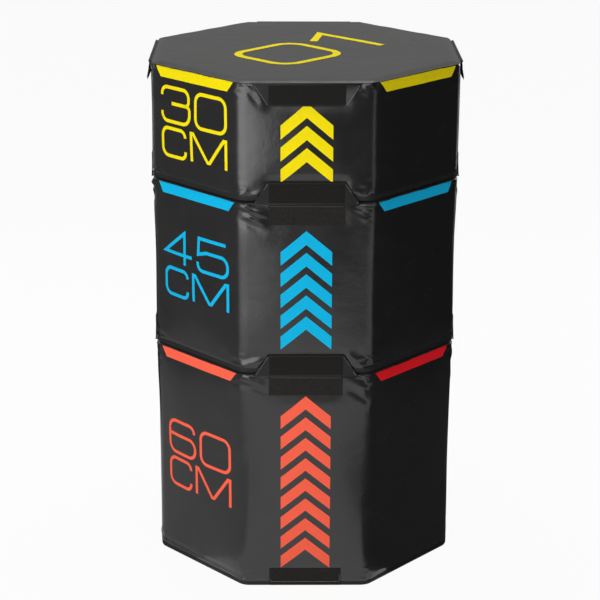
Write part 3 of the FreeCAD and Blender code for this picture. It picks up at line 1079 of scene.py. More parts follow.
@dataclass(frozen=True)
class Stitching:
    """Rows of lock stitches in bonded thread, drawn about twice as coarse as real so that they show."""

    length: float = 4.2
    pitch: float = 6.4
    thread: float = 1.1
    edge: float = 3.0
    sunk: float = 0.3
    end_round: float = 0.3

    def stitch(self) -> Object:
        """One stitch along x: a short round thread with rounded ends."""
        clear_selection()
        bpy.ops.mesh.primitive_cylinder_add(vertices=6, radius=self.thread / 2 * MM, depth=self.length * MM,
                                            rotation=(0, math.pi / 2, 0))
        obj = bpy.context.object
        settled(obj)
        first, second = edge_ends(obj)
        with editing(obj, Part.EDGES, np.abs(first[:, 0] - second[:, 0]) < SAME):
            bpy.ops.mesh.bevel(offset=self.thread * self.end_round * MM, segments=1, affect="EDGES")
        return obj

    def row(self, length: float) -> Object:
        """A row along x, centred, as long as fits in this length in metres."""
        obj = self.stitch()
        count = max(2, int(length / (self.pitch * MM)))
        repeated(obj, count, (self.pitch * MM, 0, 0))
        put_points(obj, points_of(obj) - ((count - 1) / 2 * self.pitch * MM, 0, 0))
        return obj

    def around(self, name: str, width: float, low: float, high: float, out: float) -> Object:
        """Rows inside the edges of an upright rectangle that faces the front, in metres.

        Args:
            name: Name of the new piece.
            width: Width of the rectangle.
            low: Its lower edge.
            high: Its upper edge.
            out: How far the thread's middle lies towards the front.

        Returns:
            The stitches.
        """
        height = high - low
        key = ("stitches", round(width / MM), round(height / MM))
        obj = named(PATTERNS.copy(key, lambda: self.ring(width, height)), name)
        put_points(obj, points_of(obj) + (0, -out, (low + high) / 2))
        return obj

    def ring(self, width: float, height: float) -> Object:
        """Rows inside the edges of an upright rectangle about the origin."""
        edge = self.edge * MM
        rows = []
        for side in (-1, 1):
            level = self.row(width - 2 * edge)
            level.location.z = side * (height / 2 - edge)
            upright = self.row(height - 2 * edge)
            upright.rotation_euler.y = math.pi / 2
            upright.location.x = side * (width / 2 - edge)
            rows += [level, upright]
        for row in rows:
            settled(row)
        return joined(rows, "stitches")


@dataclass
class FoamCore:
    """Foam slabs in one cover, glued on each other."""

    places: BoxPlaces
    slab: float = 150.0
    side_gap: float = 9.0
    lid_gap: float = 8.0
    base_gap: float = 3.0
    rounding: float = 5.0

    def build(self) -> None:
        """Model the slabs and dress them."""
        p = self.places
        count = max(1, round((p.top - p.floor) / (self.slab * MM)))
        low, high = p.floor + self.base_gap * MM, p.top - self.lid_gap * MM
        plan = Octagon(p.plan.apothem - self.side_gap * MM, p.plan.corner_radius - self.side_gap * MM)
        slabs = []
        for layer in range(count):
            slab = plan.loop(low + (high - low) * layer / count, "slab", straight_cuts=7, corner_steps=3)
            with editing(slab):
                bpy.ops.mesh.edge_face_add()
                bpy.ops.mesh.extrude_region_move(
                    TRANSFORM_OT_translate={"value": (0, 0, (high - low) / count)})
                bpy.ops.mesh.select_all(action="SELECT")
                bpy.ops.mesh.normals_make_consistent(inside=False)
            first, second = edge_ends(slab)
            with editing(slab, Part.EDGES, np.abs(first[:, 2] - second[:, 2]) < SAME):
                bpy.ops.mesh.bevel(offset=self.rounding * MM, segments=2, affect="EDGES")
            slabs.append(slab)
        core = joined(slabs, f"{p.box}_foam")
        smooth(core)
        FOAM.fit(core, p.box, f"{p.box}_foam_core")
        LOG.info("%s: %d slabs", core.name, count)


@dataclass
class Strips:
    """Hook-and-loop strips sewn to the wall, one under each fold and one along the base of each flap side."""

    places: BoxPlaces
    width: float = 186.0
    thickness: float = 1.6
    pile: float = 0.4
    selvedge: float = 5.0
    below_seam: float = 4.0
    mesh_step: float = 8.0
    stitching: Stitching = Stitching()

    def build(self, form: Object) -> None:
        """Lay both sets of strips on the form, with their stitches."""
        box = self.places.box
        for kind in ("upper_strips", "lower_strips"):
            node = f"{box}_{kind}"
            low, high = (corner.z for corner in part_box(node))
            sewn_low = max(low, self.places.base_seam - self.below_seam * MM)
            strips, threads = [], []
            for face in FLAP_FACES:
                strips.append(self.strip(form, face, low, high))
                threads.append(self.threads(face, sewn_low, high))
            strip = joined(strips, f"{node}_pile")
            WALL_TAPE.fit(strip, box, node)
            thread = joined(threads, f"{node}_stitches")
            smooth(thread, 60)
            THREAD.fit(thread, box)
            LOG.info("%s with %s", strip.name, thread.name)

    def strip(self, form: Object, face: Face, low: float, high: float) -> Object:
        """One strip with a flat selvedge and a raised pile."""
        height = high - low
        obj = PATTERNS.copy(("strip", round(height / MM)), lambda: self.flat_strip(height))
        flat = np.abs(points_of(obj))
        inner = (flat[:, 0] < (self.width / 2 - self.selvedge) * MM + SAME) & (
            flat[:, 2] < height / 2 - self.selvedge * MM + SAME)
        put_points(obj, points_of(obj) + (0, -self.places.plan.apothem - DRAWN_AHEAD, (low + high) / 2))
        obj.rotation_euler.z = face.turn
        lay_on(obj, form, inner * self.pile * MM, self.thickness * MM)
        smooth(obj, 35)
        return obj

    def flat_strip(self, height: float) -> Object:
        """Flat strip about the origin, with a border for its selvedge."""
        obj = upright_plate("strip", self.width * MM, height, (0, 0, 0))
        with editing(obj):
            bpy.ops.mesh.inset(thickness=self.selvedge * MM)
            bpy.ops.mesh.subdivide(number_cuts=1)
        subdivided_to(obj, self.mesh_step * MM)
        points = points_of(obj)
        unwrap(obj, points[:, 0], points[:, 2])
        return obj

    def threads(self, face: Face, low: float, high: float) -> Object:
        """Stitches just inside the edges of one strip."""
        obj = self.stitching.around("threads", self.width * MM, low, high,
                                    self.places.plan.apothem + (self.thickness - self.stitching.sunk) * MM)
        obj.rotation_euler.z = face.turn
        settled(obj)
        return obj


@dataclass
class Flap:
    """One flap: a doubled sheet that folds along a bead, with a tape on each side and a sewn-in root."""

    places: BoxPlaces
    face: Face
    hangs: bool
    above: str
    seed: float
    curl: float = 0.0
    loose_corner: float = 0.0
    root_width: float = 262.0
    tip_width: float = 192.0
    length: float = 55.0
    thickness: float = 1.6
    raised_bead: float = 1.6
    hanging_bead: float = 2.9
    fold_out: float = 5.1
    edge_cut: float = 0.35
    ripple: Ripple = Ripple(0.9, (30, 30, 30))
    ripple_start: tuple[float, float] = (12.0, 14.0)
    mesh_step: float = 9.0
    tape_width: float = 184.0
    tape_height: float = 46.0
    tape_thickness: float = 1.6
    tape_pile: float = 0.4
    tape_selvedge: float = 4.0
    tape_step: float = 20.0
    tape_from_fold: float = 5.0
    hem_margin: float = 3.0
    stitching: Stitching = Stitching()

    @property
    def body(self) -> str:
        """Name of the flap's body."""
        return f"{self.places.box.removesuffix('_box')}_{self.face.name.lower()}_flap"

    @property
    def node(self) -> str:
        """Name of the flap's node."""
        return f"{self.places.box}_{self.face.name.lower()}_flap"

    def build(self) -> None:
        """Model the sheet, its tapes and its stitches."""
        sheet = self.sheet()
        FLAP_PVC.fit(sheet, self.body, self.node)
        FLAP_TAPE.fit(self.tapes(), self.body, f"{self.node}_tapes")
        # The pale hem thread also paints the highlight along the flap's cut edges
        for threads, finish in ((self.threads(), BLACK_THREAD), (self.hems(), THREAD)):
            smooth(threads, 60)
            finish.fit(threads, self.body)
        LOG.info("%s with tapes and stitches", sheet.name)

    def place(self, obj: Object, name: str) -> Object:
        """Turn a piece of a raised front flap down, if the flap hangs, and onto its side."""
        if self.hangs:
            points = points_of(obj)
            fold = self.places.top_seam
            down = np.clip((points[:, 2] - fold) / (self.length * MM), 0, 1)
            past_tape = np.maximum(points[:, 0] / MM - self.tape_width / 2, 0)
            off = self.curl * down ** 1.4 + past_tape * self.loose_corner * eased(down, 0.1, 0.6)
            points[:, 2] = 2 * fold - points[:, 2]
            points[:, 1] = -2 * self.fold_line - points[:, 1] - off * MM
            put_points(obj, points)
        obj.rotation_euler.z = self.face.turn
        settled(obj)
        return named(obj, name)

    @property
    def bead_radius(self) -> float:
        """Radius of the roll along the fold, which is fuller where the flap hangs from it."""
        return self.hanging_bead if self.hangs else self.raised_bead

    @property
    def fold_line(self) -> float:
        """Distance of the fold line from the middle of the box, in metres."""
        return self.places.plan.apothem + self.fold_out * MM

    def sheet(self) -> Object:
        """Trapezoid that ripples beside its tape, with cut edges and a rolled bead along the fold."""
        fold = self.places.top_seam
        middle = (0, -self.fold_line, fold + self.length / 2 * MM)
        obj = upright_plate("sheet", self.root_width * MM, self.length * MM, middle)
        with editing(obj, Part.VERTICES, points_of(obj)[:, 2] > middle[2]):
            share = self.tip_width / self.root_width
            bpy.ops.transform.resize(value=(share, 1, 1), center_override=middle)
        with editing(obj):
            bpy.ops.mesh.subdivide(number_cuts=15)
        subdivided_to(obj, self.mesh_step * MM)
        points = points_of(obj)
        unwrap(obj, points[:, 0], points[:, 2])
        aside, up = self.ripple_start
        beside = eased(np.abs(points[:, 0]) / MM, self.tape_width / 2, self.tape_width / 2 + aside)
        off_fold = eased((points[:, 2] - fold) / MM, 0, up)
        points[:, 1] += self.ripple.height * MM * beside * off_fold * self.ripple.at(points, self.seed)
        put_points(obj, points)
        finish_with(obj, "SOLIDIFY", thickness=self.thickness * MM, offset=0)
        finish_with(obj, "BEVEL", width=self.edge_cut * MM, segments=1, limit_method="ANGLE",
                    angle_limit=math.radians(50))
        smooth(obj)
        return self.place(joined([obj, self.bead()], "sheet"), f"{self.node}_sheet")

    def bead(self) -> Object:
        """Roll along the fold, with rounded ends."""
        clear_selection()
        bpy.ops.mesh.primitive_cylinder_add(
            vertices=12, radius=self.bead_radius * MM, depth=self.root_width * MM,
            location=(0, -self.fold_line, self.places.top_seam), rotation=(0, math.pi / 2, 0))
        bead = bpy.context.object
        settled(bead)
        ends = np.abs(np.abs(face_centres(bead)[:, 0]) - self.root_width / 2 * MM) < SAME
        with editing(bead, Part.FACES, ends):
            bpy.ops.mesh.bevel(offset=self.bead_radius * 0.4 * MM, segments=2, affect="EDGES")
        smooth(bead)
        return bead

    def tapes(self) -> Object:
        """Tape on each side of the sheet."""
        tapes = PATTERNS.copy(("tapes",), self.tape_pair)
        put_points(tapes, points_of(tapes) + (0, -self.fold_line, self.places.top_seam))
        return self.place(tapes, f"{self.node}_pile_tapes")

    def tape_pair(self) -> Object:
        """Two tapes about the fold line, back to back, each with a selvedge and a raised pile."""
        tapes = []
        for side in (-1, 1):
            middle = (0, -side * self.thickness / 2 * MM, (self.tape_from_fold + self.tape_height / 2) * MM)
            tape = upright_plate("tape", self.tape_width * MM, self.tape_height * MM, middle)
            with editing(tape):
                bpy.ops.mesh.inset(thickness=self.tape_selvedge * MM)
            subdivided_to(tape, self.tape_step * MM)
            points = points_of(tape)
            unwrap(tape, points[:, 0], points[:, 2])
            inner = (np.abs(points[:, 0]) < (self.tape_width / 2 - self.tape_selvedge) * MM + NEAR) & (
                np.abs(points[:, 2] - middle[2]) < (self.tape_height / 2 - self.tape_selvedge) * MM + NEAR)
            points[inner, 1] -= side * self.tape_pile * MM
            put_points(tape, points)
            if side < 0:
                with editing(tape):
                    bpy.ops.mesh.flip_normals()
            finish_with(tape, "SOLIDIFY", thickness=self.tape_thickness * MM, offset=1)
            smooth(tape, 35)
            tapes.append(tape)
        return joined(tapes, "tapes")

    def threads(self) -> Object:
        """Stitches round the tapes, on both sides of the flap."""
        low = self.places.top_seam + self.tape_from_fold * MM
        reach = (self.thickness / 2 + self.tape_thickness - self.stitching.sunk) * MM
        rows = [self.stitching.around("threads", self.tape_width * MM, low, low + self.tape_height * MM,
                                      self.fold_line + side * reach) for side in (-1, 1)]
        return self.place(joined(rows, "threads"), f"{self.node}_stitches")

    def hems(self) -> Object:
        """Pale stitches along the slanting edges, on both sides of the flap, whose thread also paints the
        highlight along the cut edges.
        """
        rows = [self.hem_row(end, side) for end in (-1, 1) for side in (-1, 1)]
        return self.place(joined(rows, "hems"), f"{self.node}_hem_stitches")

    def hem_row(self, end: int, side: int) -> Object:
        """Stitches along the slanting edge at one end, on one side of the raised front flap."""
        run = np.array([(self.tip_width - self.root_width) / 2 * end, self.length]) * MM
        length = np.linalg.norm(run)
        row = PATTERNS.copy(("hem",), lambda: self.stitching.row(length - 2 * self.hem_margin * MM))
        points = points_of(row)
        cosine, sine = run / length
        middle = ((self.root_width + self.tip_width) / 4 - self.stitching.edge) * end * MM
        put_points(row, np.stack([
            middle + points[:, 0] * cosine - points[:, 2] * sine,
            points[:, 1] - self.fold_line - side * (self.thickness / 2 - self.stitching.sunk) * MM,
            self.places.top_seam + self.length / 2 * MM + points[:, 0] * sine + points[:, 2] * cosine], axis=1))
        return row


@dataclass
class FlapRoots:
    """Sewn-in edges of a box's flaps, standing out of the top seam."""

    places: BoxPlaces
    width: float = 262.0
    depth: float = 3.1
    sewn_in: float = 1.2
    height: float = 2.4
    rounding: float = 0.8

    def build(self) -> None:
        """Model one root and copy it to every side."""
        p = self.places
        roots = []
        for face in FLAP_FACES:
            root = PATTERNS.copy(("root", p.box), self.root)
            root.rotation_euler.z = face.turn
            settled(root)
            roots.append(root)
        piece = joined(roots, f"{p.box}_flap_hems")
        points = points_of(piece)
        unwrap(piece, points[:, 0] + points[:, 1], points[:, 2])
        smooth(piece)
        FLAP_PVC.fit(piece, p.box, f"{p.box}_flap_roots")
        LOG.info("%s", piece.name)

    def root(self) -> Object:
        """Root of the front flap, a rounded bar half sunk in the seam."""
        p = self.places
        middle = (0, -p.plan.apothem - (self.depth - self.sewn_in) / 2 * MM, p.top_seam)
        clear_selection()
        bpy.ops.mesh.primitive_cube_add(size=1, location=middle)
        root = bpy.context.object
        settled(root)
        size = (self.width * MM, (self.depth + self.sewn_in) * MM, self.height * MM)
        with editing(root):
            bpy.ops.transform.resize(value=size, center_override=middle)
        first, second = edge_ends(root)
        with editing(root, Part.EDGES, np.abs(first[:, 0] - second[:, 0]) > self.width / 2 * MM):
            bpy.ops.mesh.bevel(offset=self.rounding * MM, segments=3, affect="EDGES")
        return root


@dataclass
class Zip:
    """Zip round the back half of a box: tapes, two half chains of teeth, end stops, slider and pull."""

    places: BoxPlaces
    middle: float = 62.0
    slot: float = 13.0
    chain: float = 6.0
    tape_thickness: float = 0.8
    fabric: float = 1.2
    tooth_pitch: float = 3.2
    tooth_length: float = 2.0
    tooth_gap: float = 1.4
    proud: float = 0.9
    stop_length: float = 4.0
    rounding: float = 0.35
    mesh_step: float = 6.0

    def build(self) -> None:
        """Model the tapes and teeth, and dress the slider and pull."""
        box = self.places.box
        ZIP_TAPE.fit(self.tapes(), box, f"{box}_zip_tapes")
        teeth = self.teeth()
        ZIP_NYLON.fit(teeth, box, f"{box}_zip_chain")
        for kind in ("zip_slider", "zip_pull"):
            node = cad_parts[f"{box}_{kind}"]
            node.data.materials.clear()
            node.data.materials.append(ZIP_METAL.material())
        LOG.info("%s zip: %d faces of teeth", box, len(teeth.data.polygons))

    @property
    def reach(self) -> tuple[float, float]:
        """Ways round the outline where the zip starts and ends: the middles of the right and left sides."""
        return 2 * self.places.plan.pitch, 6 * self.places.plan.pitch

    def wound(self, obj: Object) -> None:
        """Wind a straight mesh, x as the way round and -y as the distance out, round the outline."""
        points = points_of(obj)
        put_points(obj, self.places.plan.wind(points[:, 0], -points[:, 1], points[:, 2]))

    def tapes(self) -> Object:
        """Woven band above and below the chain."""
        start, end = self.reach
        level = self.places.floor + self.middle * MM
        width = (self.slot - self.chain) / 2 * MM
        bands = []
        for side in (-1, 1):
            middle = ((start + end) / 2, (self.fabric - self.tape_thickness) * MM,
                      level + side * ((self.chain + self.slot) / 4 * MM))
            band = upright_plate("band", end - start, width, middle)
            subdivided_to(band, self.mesh_step * MM)
            finish_with(band, "SOLIDIFY", thickness=self.tape_thickness * MM, offset=-1)
            self.wound(band)
            bands.append(band)
        tapes = joined(bands, f"{self.places.box}_zip_bands")
        smooth(tapes)
        return tapes

    def teeth(self) -> Object:
        """Two half chains whose teeth stand in each other's gaps, with a stop at each end."""
        start, end = self.reach
        level = self.places.floor + self.middle * MM
        count = int((end - start - 2 * self.stop_length * MM) / (self.tooth_pitch * MM))
        width = (self.chain - self.tooth_gap) / 2
        rows = []
        for side in (-1, 1):
            centre = (start + (self.stop_length + self.tooth_pitch * (0.5 + 0.25 * side)) * MM,
                      (self.fabric - self.proud) / 2 * MM,
                      level + side * (self.tooth_gap + width) / 2 * MM)
            tooth = self.block(centre, (self.tooth_length, self.fabric + self.proud, width))
            repeated(tooth, count, (self.tooth_pitch * MM, 0, 0))
            rows.append(tooth)
        for way in (start + self.stop_length / 2 * MM, end - self.stop_length / 2 * MM):
            centre = (way, (self.fabric - self.proud) / 2 * MM, level)
            rows.append(self.block(centre, (self.stop_length, self.fabric + self.proud, self.chain)))
        teeth = joined(rows, f"{self.places.box}_zip_teeth")
        self.wound(teeth)
        smooth(teeth, 30)
        return teeth

    def block(self, centre: Sequence[float], size: Sequence[float]) -> Object:
        """Rounded block at a place in metres, of a size in millimetres."""
        clear_selection()
        bpy.ops.mesh.primitive_cube_add(size=1, location=centre)
        obj = bpy.context.object
        settled(obj)
        with editing(obj):
            bpy.ops.transform.resize(value=[side * MM for side in size], center_override=centre)
            bpy.ops.mesh.bevel(offset=self.rounding * MM, segments=1, affect="EDGES")
        return obj


@dataclass(frozen=True)
class Stroke:
    """Centre line of a pen stroke: corners with x, z and the radius they are rounded to."""

    corners: tuple[tuple[float, float, float], ...]
    closed: bool = False
    least_step: float = 0.01

    def line(self, steps: int = 7) -> np.ndarray:
        """Points along the centre line, each rounded corner in this many steps."""
        corners = np.array(self.corners)
        count = len(corners)
        line = []
        for i, (x, z, radius) in enumerate(corners):
            here = np.array([x, z])
            if radius == 0 or (not self.closed and i in (0, count - 1)):
                line.append(here)
                continue
            before, after = corners[i - 1][:2] - here, corners[(i + 1) % count][:2] - here
            before, after = before / np.linalg.norm(before), after / np.linalg.norm(after)
            half = math.acos(np.clip(before @ after, -1, 1)) / 2
            middle = here + (before + after) / np.linalg.norm(before + after) * radius / math.sin(half)
            start = here + before * radius / math.tan(half) - middle
            end = here + after * radius / math.tan(half) - middle
            for step in range(steps + 1):
                share = step / steps
                sweep = math.pi - 2 * half
                spoke = start * math.sin((1 - share) * sweep) + end * math.sin(share * sweep)
                line.append(middle + spoke / np.linalg.norm(spoke) * radius)
        # A rounded corner can reach the stroke's end, and a point that is there twice has no direction
        apart = [np.linalg.norm(point - last) > self.least_step for last, point in zip(line, line[1:])]
        return np.array(line)[[True, *apart]]


class Glyph(Enum):
    """Numerals and letters as pen strokes in a box one unit wide and high. The third number rounds a corner."""

    ZERO = ((((0, 0, .26), (0, 1, .26), (1, 1, .26), (1, 0, .26)), True),)
    ONE = ((((0, .72, 0), (.5, 1, 0), (.5, 0, 0)), False),)
    TWO = ((((0, .74, 0), (0, 1, .26), (1, 1, .24), (1, .52, .22), (0, .46, .24), (0, 0, 0), (1, 0, 0)),
            False),)
    THREE = ((((0, .74, 0), (0, 1, .22), (.97, 1, .24), (.97, .54, .15), (.36, .54, 0)), False),
             (((.75, .54, 0), (1, .54, .13), (1, 0, .28), (0, 0, .24), (0, .27, 0)), False))
    FOUR = ((((.74, 0, 0), (.74, 1, 0), (0, .3, 0), (1, .3, 0)), False),)
    FIVE = ((((.95, 1, 0), (.05, 1, 0), (.02, .5, 0), (.3, .6, .2), (1, .6, .26), (1, 0, .26), (0, 0, .22),
              (0, .26, 0)), False),)
    SIX = ((((.97, .78, 0), (.97, 1, .22), (0, 1, .3), (0, 0, .26), (1, 0, .26), (1, .56, .26), (0, .56, 0)),
            False),)
    C = ((((1, .76, 0), (1, 1, .24), (0, 1, .3), (0, 0, .3), (1, 0, .24), (1, .27, 0)), False),)
    M = ((((0, 0, 0), (0, 1, 0), (.06, 1, 0), (.47, .1, 0), (.53, .1, 0), (.94, 1, 0), (1, 1, 0), (1, 0, 0)),
          False),)

    def strokes(self, left: float, low: float, width: float, height: float) -> list[Stroke]:
        """Strokes of the glyph in a box at this place and of this size."""
        strokes = []
        for corners, closed in self.value:
            placed = ((left + x * width, low + z * height, radius * height) for x, z, radius in corners)
            strokes.append(Stroke(tuple(placed), closed))
        return strokes


GLYPHS = {"0": Glyph.ZERO, "1": Glyph.ONE, "2": Glyph.TWO, "3": Glyph.THREE, "4": Glyph.FOUR, "5": Glyph.FIVE,
          "6": Glyph.SIX, "C": Glyph.C, "M": Glyph.M}


@dataclass(frozen=True)
class StrokePen:
    """Draws flat strokes of one width, facing the front."""

    width: float
    mitre_limit: float = 0.35

    def draw(self, strokes: Sequence[Stroke], out: float, name: str) -> Object:
        """Draw strokes in millimetres.

        Args:
            strokes: The strokes, x across and z up.
            out: Distance of the drawing towards the front, in metres.
            name: Name of the new piece.

        Returns:
            The drawing.
        """
        drawn = [self.stroke(stroke, out) for stroke in strokes]
        return joined(drawn, name)

    def sides(self, stroke: Stroke) -> tuple[np.ndarray, np.ndarray]:
        """Left and right edge of a stroke, mitred at its corners."""
        line = stroke.line()
        before, after = np.roll(line, 1, axis=0), np.roll(line, -1, axis=0)
        if not stroke.closed:
            before[0], after[-1] = 2 * line[0] - line[1], 2 * line[-1] - line[-2]
        run_in, run_out = line - before, after - line
        run_in /= np.linalg.norm(run_in, axis=1)[:, None]
        run_out /= np.linalg.norm(run_out, axis=1)[:, None]
        turn = run_in + run_out
        turn /= np.linalg.norm(turn, axis=1)[:, None]
        normal = np.stack([-turn[:, 1], turn[:, 0]], axis=1)
        reach = self.width / 2 / np.maximum((turn * run_in).sum(axis=1), self.mitre_limit)
        return line + normal * reach[:, None], line - normal * reach[:, None]

    def stroke(self, stroke: Stroke, out: float) -> Object:
        """One stroke, extruded along its line."""
        left, right = self.sides(stroke)
        if stroke.closed:
            left, right = np.vstack([left, left[:1]]), np.vstack([right, right[:1]])
        obj = upright_plate("stroke", self.width * MM, self.width * MM, (0, -out, 0))
        plate = points_of(obj)
        points = plate.copy()
        ahead = plate[:, 2] > 0
        for row, chosen in ((0, ~ahead), (1, ahead)):
            for side, edge in ((-1, left), (1, right)):
                points[chosen & (plate[:, 0] * side > 0)] = (edge[row][0] * MM, -out, edge[row][1] * MM)
        put_points(obj, points)
        with editing(obj, Part.VERTICES, ahead):
            for row in range(2, len(left)):
                bpy.ops.mesh.extrude_edges_move()
                self.put_end(obj, left[row], right[row], left[row - 1], out)
            bpy.ops.mesh.select_all(action="SELECT")
            bpy.ops.mesh.remove_doubles(threshold=SAME)
        faced_front(obj)
        return obj

    def put_end(self, obj: Object, left: np.ndarray, right: np.ndarray, last_left: np.ndarray,
                out: float) -> None:
        """Put the two selected points of a mesh in edit mode at the next edge of the stroke."""
        mesh = bmesh.from_edit_mesh(obj.data)
        ends = [vert for vert in mesh.verts if vert.select]
        old = Vector((last_left[0] * MM, -out, last_left[1] * MM))
        ends.sort(key=lambda vert: (vert.co - old).length)
        for vert, place in zip(ends, (left, right)):
            vert.co = (place[0] * MM, -out, place[1] * MM)
        bmesh.update_edit_mesh(obj.data)


@dataclass
class Prints:
    """Printed marks of one box: bars, arrows, its height and its level."""

    places: BoxPlaces
    marks: BoxMarks
    film: float = 0.2
    stand_off: float = 0.45
    mesh_step: float = 7.0
    bar_top: float = 280.0
    bar_bottom: float = 242.0
    bar_height: float = 25.5
    bar_drop: float = 0.8
    arrow_width: float = 127.0
    arrow_thickness: float = 35.0
    arrow_fall: float = 54.0
    text_half_width: float = 120.0
    digit_parting: tuple[float, float] = (-8.0, 5.0)
    letter_parting: tuple[float, float] = (-25.0, -12.0)
    letter_share: float = 0.85
    text_gap: float = 9.0
    zip_lift: float = 7.0
    first_level_cell: tuple[float, float, float, float] = (-192, -117, 219, 199)
    second_level_cell: tuple[float, float, float, float] = (80, -115, 130, 202)
    level_one_cell: tuple[float, float, float, float] = (80, -115, 180, 226)
    pen: StrokePen = StrokePen(9.0)
    level_pen: StrokePen = StrokePen(20.0)

    def build(self, form: Object) -> None:
        """Lay all the marks on the cover's form."""
        for face in BAR_FACES:
            # The front right bar can take a darker ink, which paints the shade on that side
            ink = self.marks.right_bar if face is Face.FRONT_RIGHT else None
            bar = PATTERNS.copy(("bar", self.marks.box), self.bar)
            self.lay(bar, form, face, f"{face.name.lower()}_bar", ink)
        self.lay(self.arrows(self.marks.arrow_count), form, Face.FRONT, "front_arrows")
        # On the back the zip takes the place of the lowest arrow, and the numerals keep clear of it
        self.lay(self.arrows(self.marks.arrow_count - 1), form, Face.BACK, "back_arrows")
        for face, lift in ((Face.FRONT_LEFT, 0.0), (Face.BACK_RIGHT, self.zip_lift)):
            text = PATTERNS.copy(("height", self.marks.box), self.height_text)
            text.location.z = lift * MM
            self.lay(text, form, face, f"{face.name.lower()}_height")
        self.lay_level(form)

    @property
    def out(self) -> float:
        """Distance in front of the box where flat marks are drawn, in metres."""
        return self.places.plan.apothem + DRAWN_AHEAD

    def lay(self, mark: Object, form: Object, face: Face, kind: str, ink: Ink | None = None) -> None:
        """Print a mark on a side, in the box's ink or another."""
        mark.rotation_euler.z = face.turn
        self.print_on(mark, form, kind, ink)

    def print_on(self, mark: Object, form: Object, kind: str, ink: Ink | None = None) -> None:
        """Press a mark onto the cover, and give it its film, finish and body."""
        lay_on(mark, form, self.stand_off * MM, self.film * MM)
        named(mark, f"{self.places.box}_{kind}")
        smooth(mark, 60)
        INKS[ink or self.marks.ink].fit(mark, self.places.box)
        LOG.info("%s: %d faces", mark.name, len(mark.data.polygons))

    def bar(self) -> Object:
        """Bar under the top seam, its ends mitred."""
        top = self.places.top_seam - self.bar_drop * MM
        middle = (0, -self.out, top - self.bar_height / 2 * MM)
        bar = upright_plate("bar", self.bar_top * MM, self.bar_height * MM, middle)
        with editing(bar, Part.VERTICES, points_of(bar)[:, 2] < middle[2]):
            bpy.ops.transform.resize(value=(self.bar_bottom / self.bar_top, 1, 1), center_override=middle)
        with editing(bar):
            bpy.ops.mesh.subdivide(number_cuts=3)
        subdivided_to(bar, self.mesh_step * MM)
        return bar

    def arrows(self, count: int) -> Object:
        """Column of arrows that point up, the first one's half drawn, mirrored and repeated downwards."""
        tip = self.places.floor + self.marks.arrow_tip * MM
        half = self.arrow_width / 2 * MM
        thick = self.arrow_thickness * MM
        column = upright_plate("arrows", half, thick, (half / 2, -self.out, tip - thick / 2))
        with editing(column, Part.VERTICES, points_of(column)[:, 0] > half / 2):
            bpy.ops.transform.translate(value=(0, 0, -self.arrow_fall * MM))
        with editing(column):
            bpy.ops.mesh.subdivide(number_cuts=7)
        finish_with(column, "MIRROR", use_axis=(True, False, False), use_clip=True, merge_threshold=NEAR)
        repeated(column, count, (0, 0, -self.marks.arrow_pitch * MM))
        with editing(column):
            bpy.ops.mesh.normals_make_consistent(inside=False)
        faced_front(column)
        subdivided_to(column, self.mesh_step * MM)
        return column

    def height_text(self) -> Object:
        """Height in numerals over the letters of its unit."""
        left, right = -self.text_half_width, self.text_half_width
        digit_height = self.marks.digit_height
        letter_height = self.letter_share * digit_height
        digits_low = self.places.floor / MM + self.marks.digits_top - digit_height
        letters_low = digits_low - self.text_gap - letter_height
        inset = self.pen.width / 2
        strokes = []
        cells = (
            (self.marks.height_text[0], left, self.digit_parting[0], digits_low, digit_height),
            (self.marks.height_text[1], self.digit_parting[1], right, digits_low, digit_height),
            ("C", left, self.letter_parting[0], letters_low, letter_height),
            ("M", self.letter_parting[1], right, letters_low, letter_height),
        )
        for letter, start, end, low, height in cells:
            strokes += GLYPHS[letter].strokes(start + inset, low + inset, end - start - 2 * inset,
                                              height - 2 * inset)
        text = self.pen.draw(strokes, self.out, "height")
        subdivided_to(text, self.mesh_step * MM)
        return text

    def lay_level(self, form: Object) -> None:
        """Level number on the lid, read from the front left corner."""
        first, second = self.marks.level_text
        cell = self.level_one_cell if second == "1" else self.second_level_cell
        strokes = GLYPHS[first].strokes(*self.first_level_cell) + GLYPHS[second].strokes(*cell)
        mark = self.level_pen.draw(strokes, DRAWN_AHEAD, "level")
        subdivided_to(mark, self.mesh_step * MM)
        mark.rotation_euler = (-math.pi / 2, 0, EIGHTH)
        mark.location.z = self.places.top
        self.print_on(mark, form, "level_number")


# Studio


@dataclass(frozen=True)
class Lamp:
    """A soft box at a place in metres, facing a target, with its size in metres and its power in watts."""

    name: str
    place: tuple[float, float, float]
    target: tuple[float, float, float]
    size: tuple[float, float]
    power: float

    def build(self) -> None:
        """Hang the lamp, out of the camera's sight."""
        light = bpy.data.lights.new(self.name, "AREA")
        light.shape = "RECTANGLE"
        light.size, light.size_y = self.size
        light.energy = self.power
        lamp = bpy.data.objects.new(self.name, light)
        lamp.location = self.place
        aim = Vector(self.target) - Vector(self.place)
        lamp.rotation_euler = aim.to_track_quat("-Z", "Y").to_euler()
        lamp.visible_camera = False
        bpy.context.scene.collection.objects.link(lamp)


class Stand(Enum):
    """How a flag card stands: its value is its turn from lying flat, in radians."""

    FLAT = (0, 0, 0)
    UPRIGHT = (math.pi / 2, 0, 0)
    SIDEWAYS = (0, math.pi / 2, 0)


